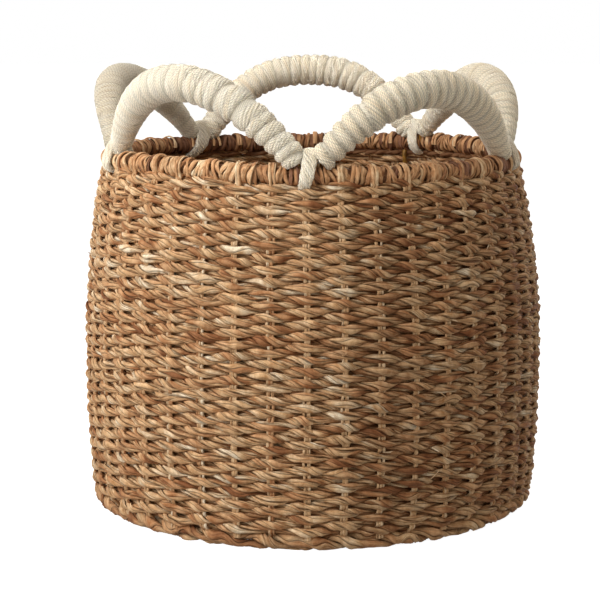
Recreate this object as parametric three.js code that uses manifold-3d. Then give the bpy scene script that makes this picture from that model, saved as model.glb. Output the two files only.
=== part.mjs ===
/**
 * Woven laundry basket on a wire frame, with a crown of five cord-wrapped arch handles.
 *
 * Millimetres, +Z up. The origin is on the floor, on the basket's axis. The front is -Y, where one
 * lashing stands; angles are counted from there, towards +X. The wire frame (rim hoop, uprights, foot
 * hoop and handle cores) carries the load; woven courses, rim binding, padding and cord go round it.
 */
import * as THREE from 'three';
import { mergeVertices } from 'three/addons/utils/BufferGeometryUtils.js';
import Module from 'manifold-3d';

// Woven wall
const BELLY_RADIUS = 220; // widest ring, over the stitches
const BELLY_HEIGHT = 140; // height of that ring above the floor
const SHOULDER_RADIUS = 201.5; // over the stitches, at the top row
const FOOT_RADIUS = 210; // over the bottom rope
const WALL_THICKNESS = 11; // weaver, stake and weaver
const COURSE_COUNT = 4; // bands that the wall is woven in

// Bottom
const ROPE_THICKNESS = 14; // twisted rope that the basket stands on
const BASE_THICKNESS = 8; // woven disc inside the rope
const BASE_LIFT = 3; // from the floor to the disc

// Rim
const RIM_HEIGHT = 334; // top of the binding above the floor
const RIM_INSET = 11.5; // from the top row's outside in to the rim hoop's centre line
const BINDING_THICKNESS = 17; // leaf binding, across its round section

// Wire frame
const HOOP_WIRE = 5; // diameter of both hoops
const CORE_WIRE = 5; // diameter of the wire in each handle
const UPRIGHT_WIRE = 4; // diameter of the uprights
const UPRIGHT_OFFSET = 4.5; // degrees from each lashing to its upright

// Handles
const HANDLE_COUNT = 5;
const HANDLE_RISE = 67; // top of the handle's centre line above the rim's top
const HANDLE_THICKNESS = 33; // across the cord at the crown
const LEG_THICKNESS = 26.5; // across the cord above the foot
const TIP_THICKNESS = 22; // across the rounded end of the foot
const WRAP_THICKNESS = 6.5; // cord layer over the padding
const LASHING_WIDTH = 12; // flat cord round the rim, between two feet
const LASHING_THICKNESS = 4.4; // the same cord where it is pressed flat
const KNOT_RISE = 14; // top of the lashing above the rim's top
const KNOT_RADIUS = 5; // rounding of the lashing's top
const KNOT_SPREAD = 20; // degrees that the lashing follows the binding above its middle

// Clearances
const GAP = 0.3; // between pieces that touch
const WIRE_GAP = 0.8; // between an upright and the wall it stands along

// Facets
const RING_SEGMENTS = 50; // round the basket; every lashing stands at a corner
const HANDLE_SIDES = 10;
const WIRE_SIDES = 6;
const HANDLE_STEPS = 12; // along each arch
const UPRIGHT_STEPS = 10;
const BINDING_FACETS = 11; // round the outside of the binding
const SLOT_FACETS = 4; // over the hoop, inside the binding
const LASHING_FACETS = 16; // round the lashing's hole and its outside

// Sizes that follow
const rimRadius = SHOULDER_RADIUS - RIM_INSET;
const bindingRadius = BINDING_THICKNESS / 2;
const hoopRadius = HOOP_WIRE / 2;
const coreRadius = CORE_WIRE / 2;
const uprightRadius = UPRIGHT_WIRE / 2;
const rimCentreHeight = RIM_HEIGHT - bindingRadius;
const wallTop = RIM_HEIGHT - BINDING_THICKNESS - LASHING_THICKNESS - 2 * GAP;
const wallBottom = ROPE_THICKNESS + GAP;
const ropeRadius = FOOT_RADIUS - ROPE_THICKNESS / 2;
const baseRadius = ropeRadius - ROPE_THICKNESS / 2 - GAP;
const baseTop = BASE_LIFT + BASE_THICKNESS;
const footHoopRadius = baseRadius - hoopRadius;
const footHoopHeight = baseTop + GAP + hoopRadius;
const bayAngle = (2 * Math.PI) / HANDLE_COUNT;
const flatInset = Math.cos(Math.PI / RING_SEGMENTS); // a ring's flat against its corner

const FINISHES = {
  leaf: new THREE.MeshStandardMaterial({ name: 'woven_leaf', color: 0xa87c4c, roughness: 0.75 }),
  binding: new THREE.MeshStandardMaterial({ name: 'bound_leaf', color: 0xa3703f, roughness: 0.72 }),
  cord: new THREE.MeshStandardMaterial({ name: 'cotton_cord', color: 0xdcd0b8, roughness: 0.95 }),
  padding: new THREE.MeshStandardMaterial({ name: 'padding_fibre', color: 0xb7a98c, roughness: 1 }),
  wire: new THREE.MeshStandardMaterial({
    name: 'frame_wire',
    color: 0x9a6f2b,
    roughness: 0.45,
    metalness: 0.7,
  }),
};

const basket = new THREE.Group();

/** Adds one named piece to the basket, turned about the basket's axis. */
function addPiece(name, geometry, material, angle = 0) {
  const piece = new THREE.Mesh(geometry, material);
  piece.name = name;
  piece.rotation.z = angle;
  basket.add(piece);
}

/** Turns an outline of [radius, height] points that starts and ends on the Z axis. */
function turnedOpen(outline) {
  const points = outline.map(([radius, height]) => new THREE.Vector2(radius, height));
  return new THREE.LatheGeometry(points, RING_SEGMENTS).rotateX(Math.PI / 2);
}

/** Turns an outline that stands off the axis, listed anticlockwise, into a closed ring. */
function turned(outline) {
  return turnedOpen([...outline, outline[0]]);
}

/** Points of an arc about a centre, from one angle to another, ends included. */
function arc(centre, radius, from, to, steps) {
  return Array.from({ length: steps + 1 }, (_, i) => {
    const angle = THREE.MathUtils.lerp(from, to, i / steps);
    return [centre[0] + radius * Math.cos(angle), centre[1] + radius * Math.sin(angle)];
  });
}

/** Wall radius over the stitches: two parabolas that meet level at the belly. */
function wallRadius(height) {
  const above = height > BELLY_HEIGHT;
  const end = above ? SHOULDER_RADIUS : FOOT_RADIUS;
  const reach = above ? wallTop - BELLY_HEIGHT : BELLY_HEIGHT;
  const share = (height - BELLY_HEIGHT) / reach;
  return BELLY_RADIUS - (BELLY_RADIUS - end) * share * share;
}

/** Place on the rim's cylinder: an arc length from the front, and a height. */
function onRim(along, height) {
  const angle = along / rimRadius;
  return new THREE.Vector3(rimRadius * Math.sin(angle), -rimRadius * Math.cos(angle), height);
}

/** A spine is a list of places, each with a sideways direction square to the path. */
function spine(places, sidewaysAt) {
  return places.map((place, i) => {
    const before = places[Math.max(i - 1, 0)];
    const after = places[Math.min(i + 1, places.length - 1)];
    const side = sidewaysAt(place);
    const up = side.clone().cross(after.clone().sub(before)).normalize();
    return { place, side, up };
  });
}

/** Bends a straight turned piece onto a spine. Its outline's heights are numbers of places. */
function bent(outline, sides, stations) {
  const geometry = new THREE.LatheGeometry(
    outline.map(([radius, station]) => new THREE.Vector2(radius, station)),
    sides,
  );
  const position = geometry.attributes.position;
  for (let i = 0; i < position.count; i += 1) {
    const { place, side, up } = stations[Math.round(position.getY(i))];
    const point = place
      .clone()
      .addScaledVector(side, position.getX(i))
      .addScaledVector(up, position.getZ(i));
    position.setXYZ(i, point.x, point.y, point.z);
  }
  geometry.computeVertexNormals();
  return geometry;
}

/** Outline of a solid rod over all the places of a spine. */
function rodOutline(radius, count) {
  const skin = Array.from({ length: count }, (_, i) => [radius, i]);
  return [[0, 0], ...skin, [0, count - 1]];
}

/** Outline of a sleeve between two places, from the outer and inner radius at each place. */
function sleeveOutline(outer, inner, first, last) {
  const places = Array.from({ length: last - first + 1 }, (_, i) => first + i);
  const skin = places.map((i) => [outer(i), i]);
  const bore = places.map((i) => [inner(i), i]).reverse();
  return [...skin, ...bore, skin[0]];
}

const radially = (place) => new THREE.Vector3(place.x, place.y, 0).normalize();

// ---------------------------------------------------------------- woven wall

/** One band of the wall, between two heights, with a ring of corners half-way up. */
function courseGeometry(bottom, top) {
  const heights = [bottom, (bottom + top) / 2, top];
  const outside = heights.map((height) => [wallRadius(height), height]);
  const inside = heights.map((height) => [wallRadius(height) - WALL_THICKNESS, height]).reverse();
  return turned([...outside, ...inside]);
}

const courseHeight = (wallTop - wallBottom - (COURSE_COUNT - 1) * GAP) / COURSE_COUNT;
for (let i = 0; i < COURSE_COUNT; i += 1) {
  const bottom = wallBottom + i * (courseHeight + GAP);
  addPiece(`weave_course_${i + 1}`, courseGeometry(bottom, bottom + courseHeight), FINISHES.leaf);
}

// ---------------------------------------------------------------- bottom

/** Eight-sided ring with a level underside, which the basket stands on. */
function ropeGeometry() {
  const sides = 8;
  const corner = ROPE_THICKNESS / 2 / Math.cos(Math.PI / sides);
  const turn = Math.PI / sides;
  const centre = [ropeRadius, ROPE_THICKNESS / 2];
  return turned(arc(centre, corner, turn, turn + 2 * Math.PI, sides).slice(0, sides));
}

/** Flat disc that fills the rope ring, lifted off the floor. */
function baseGeometry() {
  const outline = [
    [0, BASE_LIFT],
    [baseRadius, BASE_LIFT],
    [baseRadius, baseTop],
    [0, baseTop],
  ];
  return turnedOpen(outline);
}

addPiece('base_edge_rope', ropeGeometry(), FINISHES.leaf);
addPiece('woven_base', baseGeometry(), FINISHES.leaf);

// ---------------------------------------------------------------- wire frame

function hoopGeometry(radius, height) {
  return turned(arc([radius, height], hoopRadius, 0, 2 * Math.PI, WIRE_SIDES).slice(0, WIRE_SIDES));
}

/** Distance from the axis at which an upright stands clear of the wall's inner flats. */
function uprightRadiusAt(height) {
  return (wallRadius(height) - WALL_THICKNESS) * flatInset - WIRE_GAP - uprightRadius;
}

/** An upright runs from the foot hoop, up along the wall, to the underside of the rim hoop. */
function uprightGeometry() {
  const start = [footHoopRadius, footHoopHeight + hoopRadius + GAP];
  const lowest = start[1] + ROPE_THICKNESS;
  const along = Array.from({ length: UPRIGHT_STEPS }, (_, i) => {
    const height = THREE.MathUtils.lerp(lowest, wallTop, i / (UPRIGHT_STEPS - 1));
    return [uprightRadiusAt(height), height];
  });
  const end = [rimRadius * flatInset, rimCentreHeight - hoopRadius - GAP];
  const places = [start, ...along, end].map(([radius, height]) => new THREE.Vector3(0, -radius, height));
  const stations = spine(places, () => new THREE.Vector3(1, 0, 0));
  return bent(rodOutline(uprightRadius, stations.length), WIRE_SIDES, stations);
}

addPiece('frame_rim_hoop', hoopGeometry(rimRadius, rimCentreHeight), FINISHES.wire);
addPiece('frame_foot_hoop', hoopGeometry(footHoopRadius, footHoopHeight), FINISHES.wire);
for (let i = 0; i < HANDLE_COUNT; i += 1) {
  const angle = i * bayAngle + THREE.MathUtils.degToRad(UPRIGHT_OFFSET);
  addPiece(`frame_upright_${i + 1}`, uprightGeometry(), FINISHES.wire, angle);
}

// ---------------------------------------------------------------- handles

const tipRadius = TIP_THICKNESS / 2;

/** Half length and end height of an arch whose tip clears the lashing and sits on the rim. */
function handleFoot() {
  const bayHalf = (rimRadius * bayAngle) / 2;
  let along = bayHalf - LASHING_WIDTH / 2 - tipRadius;
  let rise = tipRadius;
  for (let pass = 0; pass < 6; pass += 1) {
    const slope = Math.atan2(2 * (HANDLE_RISE - rise), along);
    along = bayHalf - LASHING_WIDTH / 2 - 2 * GAP - tipRadius * Math.sin(slope);
    rise = tipRadius * Math.cos(slope) + GAP;
  }
  return { along, rise };
}

const foot = handleFoot();

/** Height of the arch's centre line at a share of its half length: a parabola. */
const archHeight = (share) => RIM_HEIGHT + HANDLE_RISE - (HANDLE_RISE - foot.rise) * share * share;

const archPlaces = Array.from({ length: HANDLE_STEPS + 1 }, (_, i) => {
  const share = (2 * i) / HANDLE_STEPS - 1;
  return onRim(share * foot.along, archHeight(share));
});
const archStations = spine(archPlaces, radially);

/** Radius over the cord at a place on the arch: crown to leg, then the rounded tip. */
function handleRadius(i) {
  if (i === 0 || i === HANDLE_STEPS) {
    return tipRadius;
  }
  const share = (2 * i) / HANDLE_STEPS - 1;
  return THREE.MathUtils.lerp(HANDLE_THICKNESS, LEG_THICKNESS, share * share) / 2;
}

/** Radius of the bore in the cord: round the padding, and closed on the wire at both tips. */
function wrapBore(i) {
  const tip = i === 0 || i === HANDLE_STEPS;
  return tip ? coreRadius + GAP : handleRadius(i) - WRAP_THICKNESS;
}

const wrapOutline = sleeveOutline(handleRadius, wrapBore, 0, HANDLE_STEPS);
const paddingOutline = sleeveOutline(
  (i) => wrapBore(i) - GAP,
  () => coreRadius + GAP,
  1,
  HANDLE_STEPS - 1,
);

/** The wire leaves each tip straight, then turns down through the binding to the rim hoop. */
function coreGeometry() {
  const tip = archPlaces[HANDLE_STEPS];
  const lead = tip.clone().sub(archPlaces[HANDLE_STEPS - 1]).setLength(CORE_WIRE);
  const along = foot.along + Math.hypot(lead.x, lead.y);
  const bend = onRim(along, tip.z + lead.z);
  const end = onRim(along, rimCentreHeight + hoopRadius + GAP);
  const mirrored = ({ x, y, z }) => new THREE.Vector3(-x, y, z);
  const places = [mirrored(end), mirrored(bend), ...archPlaces, bend, end];
  const stations = spine(places, radially);
  return { geometry: bent(rodOutline(coreRadius, stations.length), HANDLE_SIDES, stations), along };
}

const core = coreGeometry();

for (let i = 0; i < HANDLE_COUNT; i += 1) {
  const angle = (i + 0.5) * bayAngle;
  const wrap = bent(wrapOutline, HANDLE_SIDES, archStations);
  const padding = bent(paddingOutline, HANDLE_SIDES, archStations);
  addPiece(`handle_core_${i + 1}`, core.geometry, FINISHES.wire, angle);
  addPiece(`handle_padding_${i + 1}`, padding, FINISHES.padding, angle);
  addPiece(`handle_wrap_${i + 1}`, wrap, FINISHES.cord, angle);
}

// ---------------------------------------------------------------- lashings

/** Cord bound round the rim binding, with its knot standing between two handle feet. */
function lashingGeometry() {
  const outerRadius = bindingRadius + GAP + LASHING_THICKNESS;
  const holeRadius = (bindingRadius + GAP) / Math.cos(Math.PI / LASHING_FACETS);
  const knotHeight = bindingRadius + KNOT_RISE - KNOT_RADIUS;
  const spread = THREE.MathUtils.degToRad(KNOT_SPREAD);
  const below = arc([0, 0], outerRadius, Math.PI - spread, 2 * Math.PI + spread, LASHING_FACETS);
  const above = arc([0, knotHeight], KNOT_RADIUS, 0, Math.PI, LASHING_FACETS / 4);
  const hole = arc([0, 0], holeRadius, 0, 2 * Math.PI, LASHING_FACETS).slice(0, LASHING_FACETS);
  const toPath = (points) => points.map(([x, y]) => new THREE.Vector2(x, y));
  const shape = new THREE.Shape(toPath([...below, ...above]));
  shape.holes.push(new THREE.Path(toPath(hole)));
  const geometry = new THREE.ExtrudeGeometry(shape, { depth: LASHING_WIDTH, bevelEnabled: false });
  return geometry
    .translate(0, 0, -LASHING_WIDTH / 2)
    .rotateX(Math.PI / 2)
    .rotateZ(-Math.PI / 2)
    .translate(0, -rimRadius, rimCentreHeight);
}

for (let i = 0; i < HANDLE_COUNT; i += 1) {
  addPiece(`lashing_${i + 1}`, lashingGeometry(), FINISHES.cord, i * bayAngle);
}

// ---------------------------------------------------------------- rim binding

const wasm = await Module();
wasm.setup();

/** Closed geometry to a solid that can be cut. */
function toSolid(geometry) {
  const bare = geometry.clone();
  bare.deleteAttribute('normal');
  bare.deleteAttribute('uv');
  const welded = mergeVertices(bare, 1e-4);
  return new wasm.Manifold(
    new wasm.Mesh({
      numProp: 3,
      vertProperties: welded.attributes.position.array,
      triVerts: new Uint32Array(welded.index.array),
    }),
  );
}

function toGeometry(solid) {
  const mesh = solid.getMesh();
  const geometry = new THREE.BufferGeometry();
  geometry.setAttribute('position', new THREE.BufferAttribute(mesh.vertProperties, 3));
  geometry.setIndex(new THREE.BufferAttribute(mesh.triVerts, 1));
  geometry.computeVertexNormals();
  return geometry;
}

/** Round leaf roll with a slot below for the hoop and uprights, and a hole for each handle leg. */
function bindingGeometry() {
  const lean = Math.abs(rimRadius - uprightRadiusAt(wallTop));
  const slotHalf = Math.max(hoopRadius + GAP, uprightRadius + lean + GAP);
  const mouth = Math.asin(slotHalf / bindingRadius);
  const centre = [rimRadius, rimCentreHeight];
  const skin = arc(centre, bindingRadius, mouth - Math.PI / 2, 1.5 * Math.PI - mouth, BINDING_FACETS);
  const slot = arc(centre, slotHalf, Math.PI, 0, SLOT_FACETS);
  const roll = toSolid(turned([...skin, ...slot]));
  const depth = 2 * bindingRadius;
  const leg = new THREE.CylinderGeometry(coreRadius + GAP, coreRadius + GAP, depth, HANDLE_SIDES);
  leg.rotateX(Math.PI / 2).translate(0, 0, rimCentreHeight + hoopRadius + depth / 2);
  let cut = roll;
  for (let i = 0; i < HANDLE_COUNT; i += 1) {
    for (const side of [-1, 1]) {
      const place = onRim((i + 0.5) * bayAngle * rimRadius + side * core.along, 0);
      cut = cut.subtract(toSolid(leg.clone().translate(place.x, place.y, 0)));
    }
  }
  return toGeometry(cut);
}

addPiece('rim_binding', bindingGeometry(), FINISHES.binding);

export default basket;
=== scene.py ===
"""The looks of a woven laundry basket with a crown of cord-wrapped handles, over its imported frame.

Metres, +Z up, the front is -Y. Angles round the basket are counted from the front, towards +X.
Every strand is a swept tube: two-ply leaf rows woven over stakes, leaf strips round the rim,
cotton yarns round the handles. Each sub-assembly is a class with its own sizes.
"""

import logging
import math
from dataclasses import dataclass, field
from enum import Enum

import bpy
import numpy as np
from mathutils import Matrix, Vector

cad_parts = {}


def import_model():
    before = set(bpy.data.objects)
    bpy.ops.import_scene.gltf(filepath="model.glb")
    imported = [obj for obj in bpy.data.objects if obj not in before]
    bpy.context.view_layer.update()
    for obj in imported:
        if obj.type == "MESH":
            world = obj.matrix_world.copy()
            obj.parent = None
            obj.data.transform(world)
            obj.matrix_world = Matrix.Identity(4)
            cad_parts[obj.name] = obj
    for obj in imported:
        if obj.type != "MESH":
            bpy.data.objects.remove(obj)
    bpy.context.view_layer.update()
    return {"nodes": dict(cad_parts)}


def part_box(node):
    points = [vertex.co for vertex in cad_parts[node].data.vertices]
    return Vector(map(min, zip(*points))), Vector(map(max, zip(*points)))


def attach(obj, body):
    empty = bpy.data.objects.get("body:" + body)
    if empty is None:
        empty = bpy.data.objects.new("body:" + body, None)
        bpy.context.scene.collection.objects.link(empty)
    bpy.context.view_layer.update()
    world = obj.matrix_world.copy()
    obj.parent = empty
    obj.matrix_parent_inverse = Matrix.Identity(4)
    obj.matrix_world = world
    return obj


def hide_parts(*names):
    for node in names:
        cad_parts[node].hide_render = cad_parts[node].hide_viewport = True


LOG = logging.getLogger("basket")
TURN = 2 * math.pi
MM = 0.001
BODY = "root"
UP = np.array([0.0, 0.0, 1.0])

Array = np.ndarray
Chance = np.random.Generator
Pair = tuple[float, float]
Colour = tuple[float, float, float]
Socket = bpy.types.NodeSocket
Value = Socket | float | tuple[float, ...]


class Slot(Enum):
    """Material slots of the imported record."""

    LEAF = "woven_leaf"
    BOUND = "bound_leaf"
    COTTON = "cotton_cord"
    WIRE = "frame_wire"


Finishes = dict[Slot, bpy.types.Material]

# Helpers


def srgb(*screen: float) -> tuple[float, ...]:
    """Turns a screen colour into the linear colour that shaders take.

    Args:
        screen: Red, green and blue, 0 to 255.

    Returns:
        Linear red, green and blue, and an alpha of 1.
    """
    shares = [value / 255 for value in screen]
    linear = [share / 12.92 if share <= 0.04045 else ((share + 0.055) / 1.055) ** 2.4 for share in shares]
    return *linear, 1.0


def eased(share: Array) -> Array:
    """A share of 0 to 1 that starts and ends gently."""
    return share * share * (3 - 2 * share)


def each(rng: Chance, count: int) -> Array:
    """One number of chance for each strand, of spread 1, as a column."""
    return rng.normal(size=(count, 1))


def ring_noise(rng: Chance, angle: Array, count: int, low: int, high: int) -> Array:
    """Smooth noise that closes on itself round a ring.

    Args:
        rng: Seeded source of chance.
        angle: Angles round the ring.
        count: How many separate rows of noise.
        low: Fewest waves round the ring.
        high: Most waves round the ring.

    Returns:
        Noise of spread about 1, one row for each count.
    """
    waves = np.arange(low, high + 1)
    size = rng.normal(size=(count, waves.size, 1))
    start = rng.uniform(0, TURN, size=(count, waves.size, 1))
    return (size * np.cos(waves[:, None] * angle + start)).sum(axis=1) / math.sqrt(waves.size / 2)


def path_noise(rng: Chance, places: int, count: int, knots: int) -> Array:
    """Smooth noise along open strands.

    Args:
        rng: Seeded source of chance.
        places: Places along each strand.
        count: How many strands.
        knots: How many independent values along a strand.

    Returns:
        Noise of spread about 1, one row for each strand.
    """
    at = np.linspace(0, knots - 1.001, places)
    first = at.astype(int)
    share = eased(at - first)
    value = rng.normal(size=(count, knots))
    return value[:, first] * (1 - share) + value[:, first + 1] * share


def unit(vectors: Array) -> Array:
    """The same directions at length one."""
    return vectors / np.maximum(np.linalg.norm(vectors, axis=-1, keepdims=True), 1e-12)


def round_angles(count: int) -> Array:
    """Angles that stand evenly round a full turn."""
    return np.arange(count) * TURN / count


def on_ring(radius: Array, angle: Array, height: Array) -> Array:
    """Points at a radius, an angle and a height of the basket, x y z along the last axis."""
    radius, angle, height = np.broadcast_arrays(radius, angle, height)
    return np.stack([radius * np.sin(angle), -radius * np.cos(angle), height], axis=-1)


def toned(hue: Array, light: Array, wear_and_shade: Array, hues: Pair = (0.02, 0.98), dimmest: float = 0.1) -> Array:
    """Hue, light and a darkening for dirt and painted shade along the last axis, the first two kept within
    limits.
    """
    hue, light, wear_and_shade = np.broadcast_arrays(np.clip(hue, *hues), np.clip(light, dimmest, 1), wear_and_shade)
    return np.stack([hue, light, wear_and_shade], axis=-1)


def placed(name: str, data: bpy.types.ID) -> bpy.types.Object:
    """Puts new data into the scene.

    Args:
        name: Name of the object.
        data: Its mesh, lamp or camera.

    Returns:
        The object.
    """
    thing = bpy.data.objects.new(name, data)
    bpy.context.scene.collection.objects.link(thing)
    return thing


@dataclass(frozen=True)
class Swell:
    """A stretch round the basket that differs from the rest. Its bearing and spread are in degrees."""

    bearing: float
    spread: float
    rise: float

    def at(self, angle: Array) -> Array:
        """How much the stretch differs at each angle."""
        apart = (angle - math.radians(self.bearing) + math.pi) % TURN - math.pi
        return self.rise * np.exp(-0.5 * (apart / math.radians(self.spread)) ** 2)


Swells = tuple[Swell, ...]


def swelled(swells: Swells, angle: Array) -> Array:
    """What several stretches add up to at each angle."""
    return sum(swell.at(angle) for swell in swells)


@dataclass(frozen=True)
class Settling:
    """How the hand-made basket leaves its true round form."""

    swells: Swells = (Swell(-43, 20, 4.8 * MM), Swell(-118, 22, 1.9 * MM), Swell(130, 30, 3.8 * MM))
    starts: float = 200 * MM
    full: float = 318 * MM
    lean: float = 1.8 * MM

    def applied(self, points: Array) -> Array:
        """Moves points of the true form to where the hand-made basket has them.

        Args:
            points: Points of the true form.

        Returns:
            The same points, the rim not quite level and the body leaning.
        """
        angle = np.arctan2(points[..., 0], -points[..., 1])
        share = eased(np.clip((points[..., 2] - self.starts) / (self.full - self.starts), 0, 1))
        moved = points.copy()
        moved[..., 2] += swelled(self.swells, angle) * share
        moved[..., 0] += self.lean * (1 - share)
        return moved


SETTLING = Settling()

# Strands


@dataclass
class Batch:
    """Strands of one kind, with as many places along each and as many corners round each.

    The margin and the gutter are the shares of a map's width and of a band's height left free.
    """

    points: Array
    tone: Array
    closed: bool
    margin: float = 0.005
    gutter: float = 0.08

    @property
    def spans(self) -> int:
        """Stretches between the places along a strand."""
        return self.points.shape[1] - (0 if self.closed else 1)

    @property
    def around(self) -> Array:
        """Shares of the way round at the four corners of each side's face."""
        sides = self.points.shape[2]
        return (np.arange(sides)[:, None] + np.array([0, 0, 1, 1])) / sides

    def faces(self) -> Array:
        """Numbers the corners of each face.

        Returns:
            Numbers by strand, span, side and corner.
        """
        strands, places, sides = self.points.shape[:3]
        span, here = np.arange(self.spans)[:, None], np.arange(sides)
        near, far, there = span * sides, (span + 1) % places * sides, (here + 1) % sides
        quad = np.stack([near + here, far + here, far + there, near + there], axis=-1)
        return quad + np.arange(strands)[:, None, None, None] * places * sides

    def reach(self) -> Array:
        """Measures the distance along each strand.

        Returns:
            Distances by strand and end of span, in metres.
        """
        centre = self.points.mean(axis=2)
        step = np.linalg.norm(np.roll(centre, -1, axis=1) - centre, axis=-1)[:, : self.spans]
        return np.concatenate([np.zeros((len(step), 1)), np.cumsum(step, axis=1)], axis=1)

    def girth(self) -> Array:
        """Mean distance round each strand, in metres."""
        edge = np.linalg.norm(np.roll(self.points, -1, axis=2) - self.points, axis=-1)
        return edge.sum(axis=2).mean(axis=1)

    def stretches(self, length: float) -> int:
        """How many bands of a map its longest strand fills, if a band holds this length."""
        return max(1, math.ceil(self.reach()[:, -1].max() / length - 1e-6))

    def grain(self, rng: Chance) -> Array:
        """Texture places in metres: along the strand, and round it.

        Args:
            rng: Seeded source of chance, which sets each strand apart.

        Returns:
            Two numbers for each face corner.
        """
        reach = self.reach()
        shift = rng.uniform(0, 5, size=(len(reach), 2))[..., None, None, None]
        along = np.stack([reach[:, :-1], reach[:, 1:], reach[:, 1:], reach[:, :-1]], axis=-1)
        u = along[:, :, None, :] + shift[:, 0]
        v = self.around * self.girth()[:, None, None, None] + shift[:, 1]
        return np.stack(np.broadcast_arrays(u, v), axis=-1)

    def flat_map(self, length: float, bottom: float, scale: float) -> tuple[Array, float]:
        """Lays the strands' faces out side by side without overlap, for baking.

        Args:
            length: Longest stretch that fits across the map, in metres.
            bottom: Where the first band starts, 0 to 1.
            scale: Height of the map for each metre of girth.

        Returns:
            Two numbers for each face corner, and where the last band ends.
        """
        pieces = self.stretches(length)
        span = np.arange(self.spans)
        chunk = span * pieces // self.spans
        first = np.searchsorted(chunk, np.arange(pieces))
        count = np.diff(np.append(first, self.spans))
        left, right = ((span - first[chunk] + end) / count[chunk] for end in (0, 1))
        u = self.margin + (1 - 2 * self.margin) * np.stack([left, right, right, left], axis=-1)
        height = self.girth() * scale
        base = bottom + np.concatenate([[0], np.cumsum(height * pieces)[:-1]])
        band = base[:, None] + chunk * height[:, None]
        inside = self.gutter + (1 - 2 * self.gutter) * self.around
        v = band[:, :, None, None] + inside * height[:, None, None, None]
        places = np.stack(np.broadcast_arrays(u[:, None, :], v), axis=-1)
        return places, bottom + float((height * pieces).sum())


@dataclass
class StrandMesh:
    """One Blender piece made of many swept strands."""

    name: str
    slot: Slot
    seed: int
    replaces: tuple[str, ...] = ()
    batches: list[Batch] = field(default_factory=list)

    def add(self, points: Array, tone: Array | Colour, closed: bool = False) -> None:
        """Adds strands.

        Args:
            points: Points by strand, place, corner and x y z.
            tone: Hue, light and a darkening for dirt and painted shade, for all or by strand and place and,
                where it differs, corner.
            closed: Whether the strands' ends meet.
        """
        tone = np.asarray(tone)
        tone = tone[:, :, None, :] if tone.ndim == 3 else tone
        self.batches.append(Batch(points, np.broadcast_to(tone, points.shape), closed))

    def build(self, finishes: Finishes) -> None:
        """Makes the mesh, dresses it and fastens it to the frame.

        Args:
            finishes: The basket's materials.
        """
        rng = np.random.default_rng(self.seed)
        area = sum(float((batch.reach()[:, -1] * batch.girth()).sum()) for batch in self.batches)
        length = math.sqrt(area)
        bands = sum(float(batch.girth().sum()) * batch.stretches(length) for batch in self.batches)
        places, tones, faces, grains, flats = [], [], [], [], []
        start, bottom = 0, 0.0
        for batch in self.batches:
            flat, bottom = batch.flat_map(length, bottom, 1 / bands)
            faces.append(batch.faces().reshape(-1) + start)
            grains.append(batch.grain(rng).reshape(-1))
            flats.append(flat.reshape(-1))
            places.append(SETTLING.applied(batch.points).reshape(-1))
            tones.append(np.insert(batch.tone.reshape(-1, 3), 3, 1, axis=1).reshape(-1))
            start += batch.points.size // 3
        loops = np.concatenate(faces).astype(np.int32)
        mesh = bpy.data.meshes.new(self.name)
        mesh.vertices.add(start)
        mesh.vertices.foreach_set("co", np.concatenate(places).astype(np.float32))
        mesh.loops.add(loops.size)
        mesh.loops.foreach_set("vertex_index", loops)
        mesh.polygons.add(loops.size // 4)
        mesh.polygons.foreach_set("loop_start", np.arange(0, loops.size, 4, dtype=np.int32))
        mesh.update(calc_edges=True)
        for name, uv in (("grain", grains), ("OFBake", flats)):
            mesh.uv_layers.new(name=name).data.foreach_set("uv", np.concatenate(uv).astype(np.float32))
        colours = mesh.attributes.new("tone", "FLOAT_COLOR", "POINT")
        colours.data.foreach_set("color", np.concatenate(tones).astype(np.float32))
        mesh.shade_smooth()
        mesh.materials.append(finishes[self.slot])
        piece = placed(self.name, mesh)
        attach(piece, BODY)
        if self.replaces:
            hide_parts(*self.replaces)
        LOG.info("%s: %d faces", self.name, loops.size // 4)


def sweep(centre: Array, outward: Array, section: Array) -> Array:
    """Sweeps sections along open centre lines.

    Args:
        centre: Points by strand, place and x y z.
        outward: Direction that a section's first number points in, at each place.
        section: Outward and leftward offsets by strand, place, corner, spread as needed.

    Returns:
        Points by strand, place, corner and x y z.
    """
    tangent = unit(np.gradient(centre, axis=1))
    outward = unit(outward - (outward * tangent).sum(axis=-1, keepdims=True) * tangent)
    left = np.cross(outward, tangent)[:, :, None, :]
    section = np.broadcast_to(section, centre.shape[:2] + section.shape[-2:])
    return centre[:, :, None, :] + section[..., 0:1] * outward[:, :, None, :] + section[..., 1:2] * left


def round_section(radius: Array | float, sides: int, flatness: float = 1.0) -> Array:
    """Outward and leftward offsets of a section of this radius, thinner outward by its flatness."""
    turn, radius = round_angles(sides), np.asarray(radius)[..., None]
    return np.stack([radius * flatness * np.cos(turn), radius * np.sin(turn)], axis=-1)


def laid(lay: Array, away: Array, aside: Array) -> tuple[Array, Array]:
    """Turns offsets by the lay of a strand's plies: how far along its first and second direction."""
    return np.cos(lay) * away - np.sin(lay) * aside, np.sin(lay) * away + np.cos(lay) * aside


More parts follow.
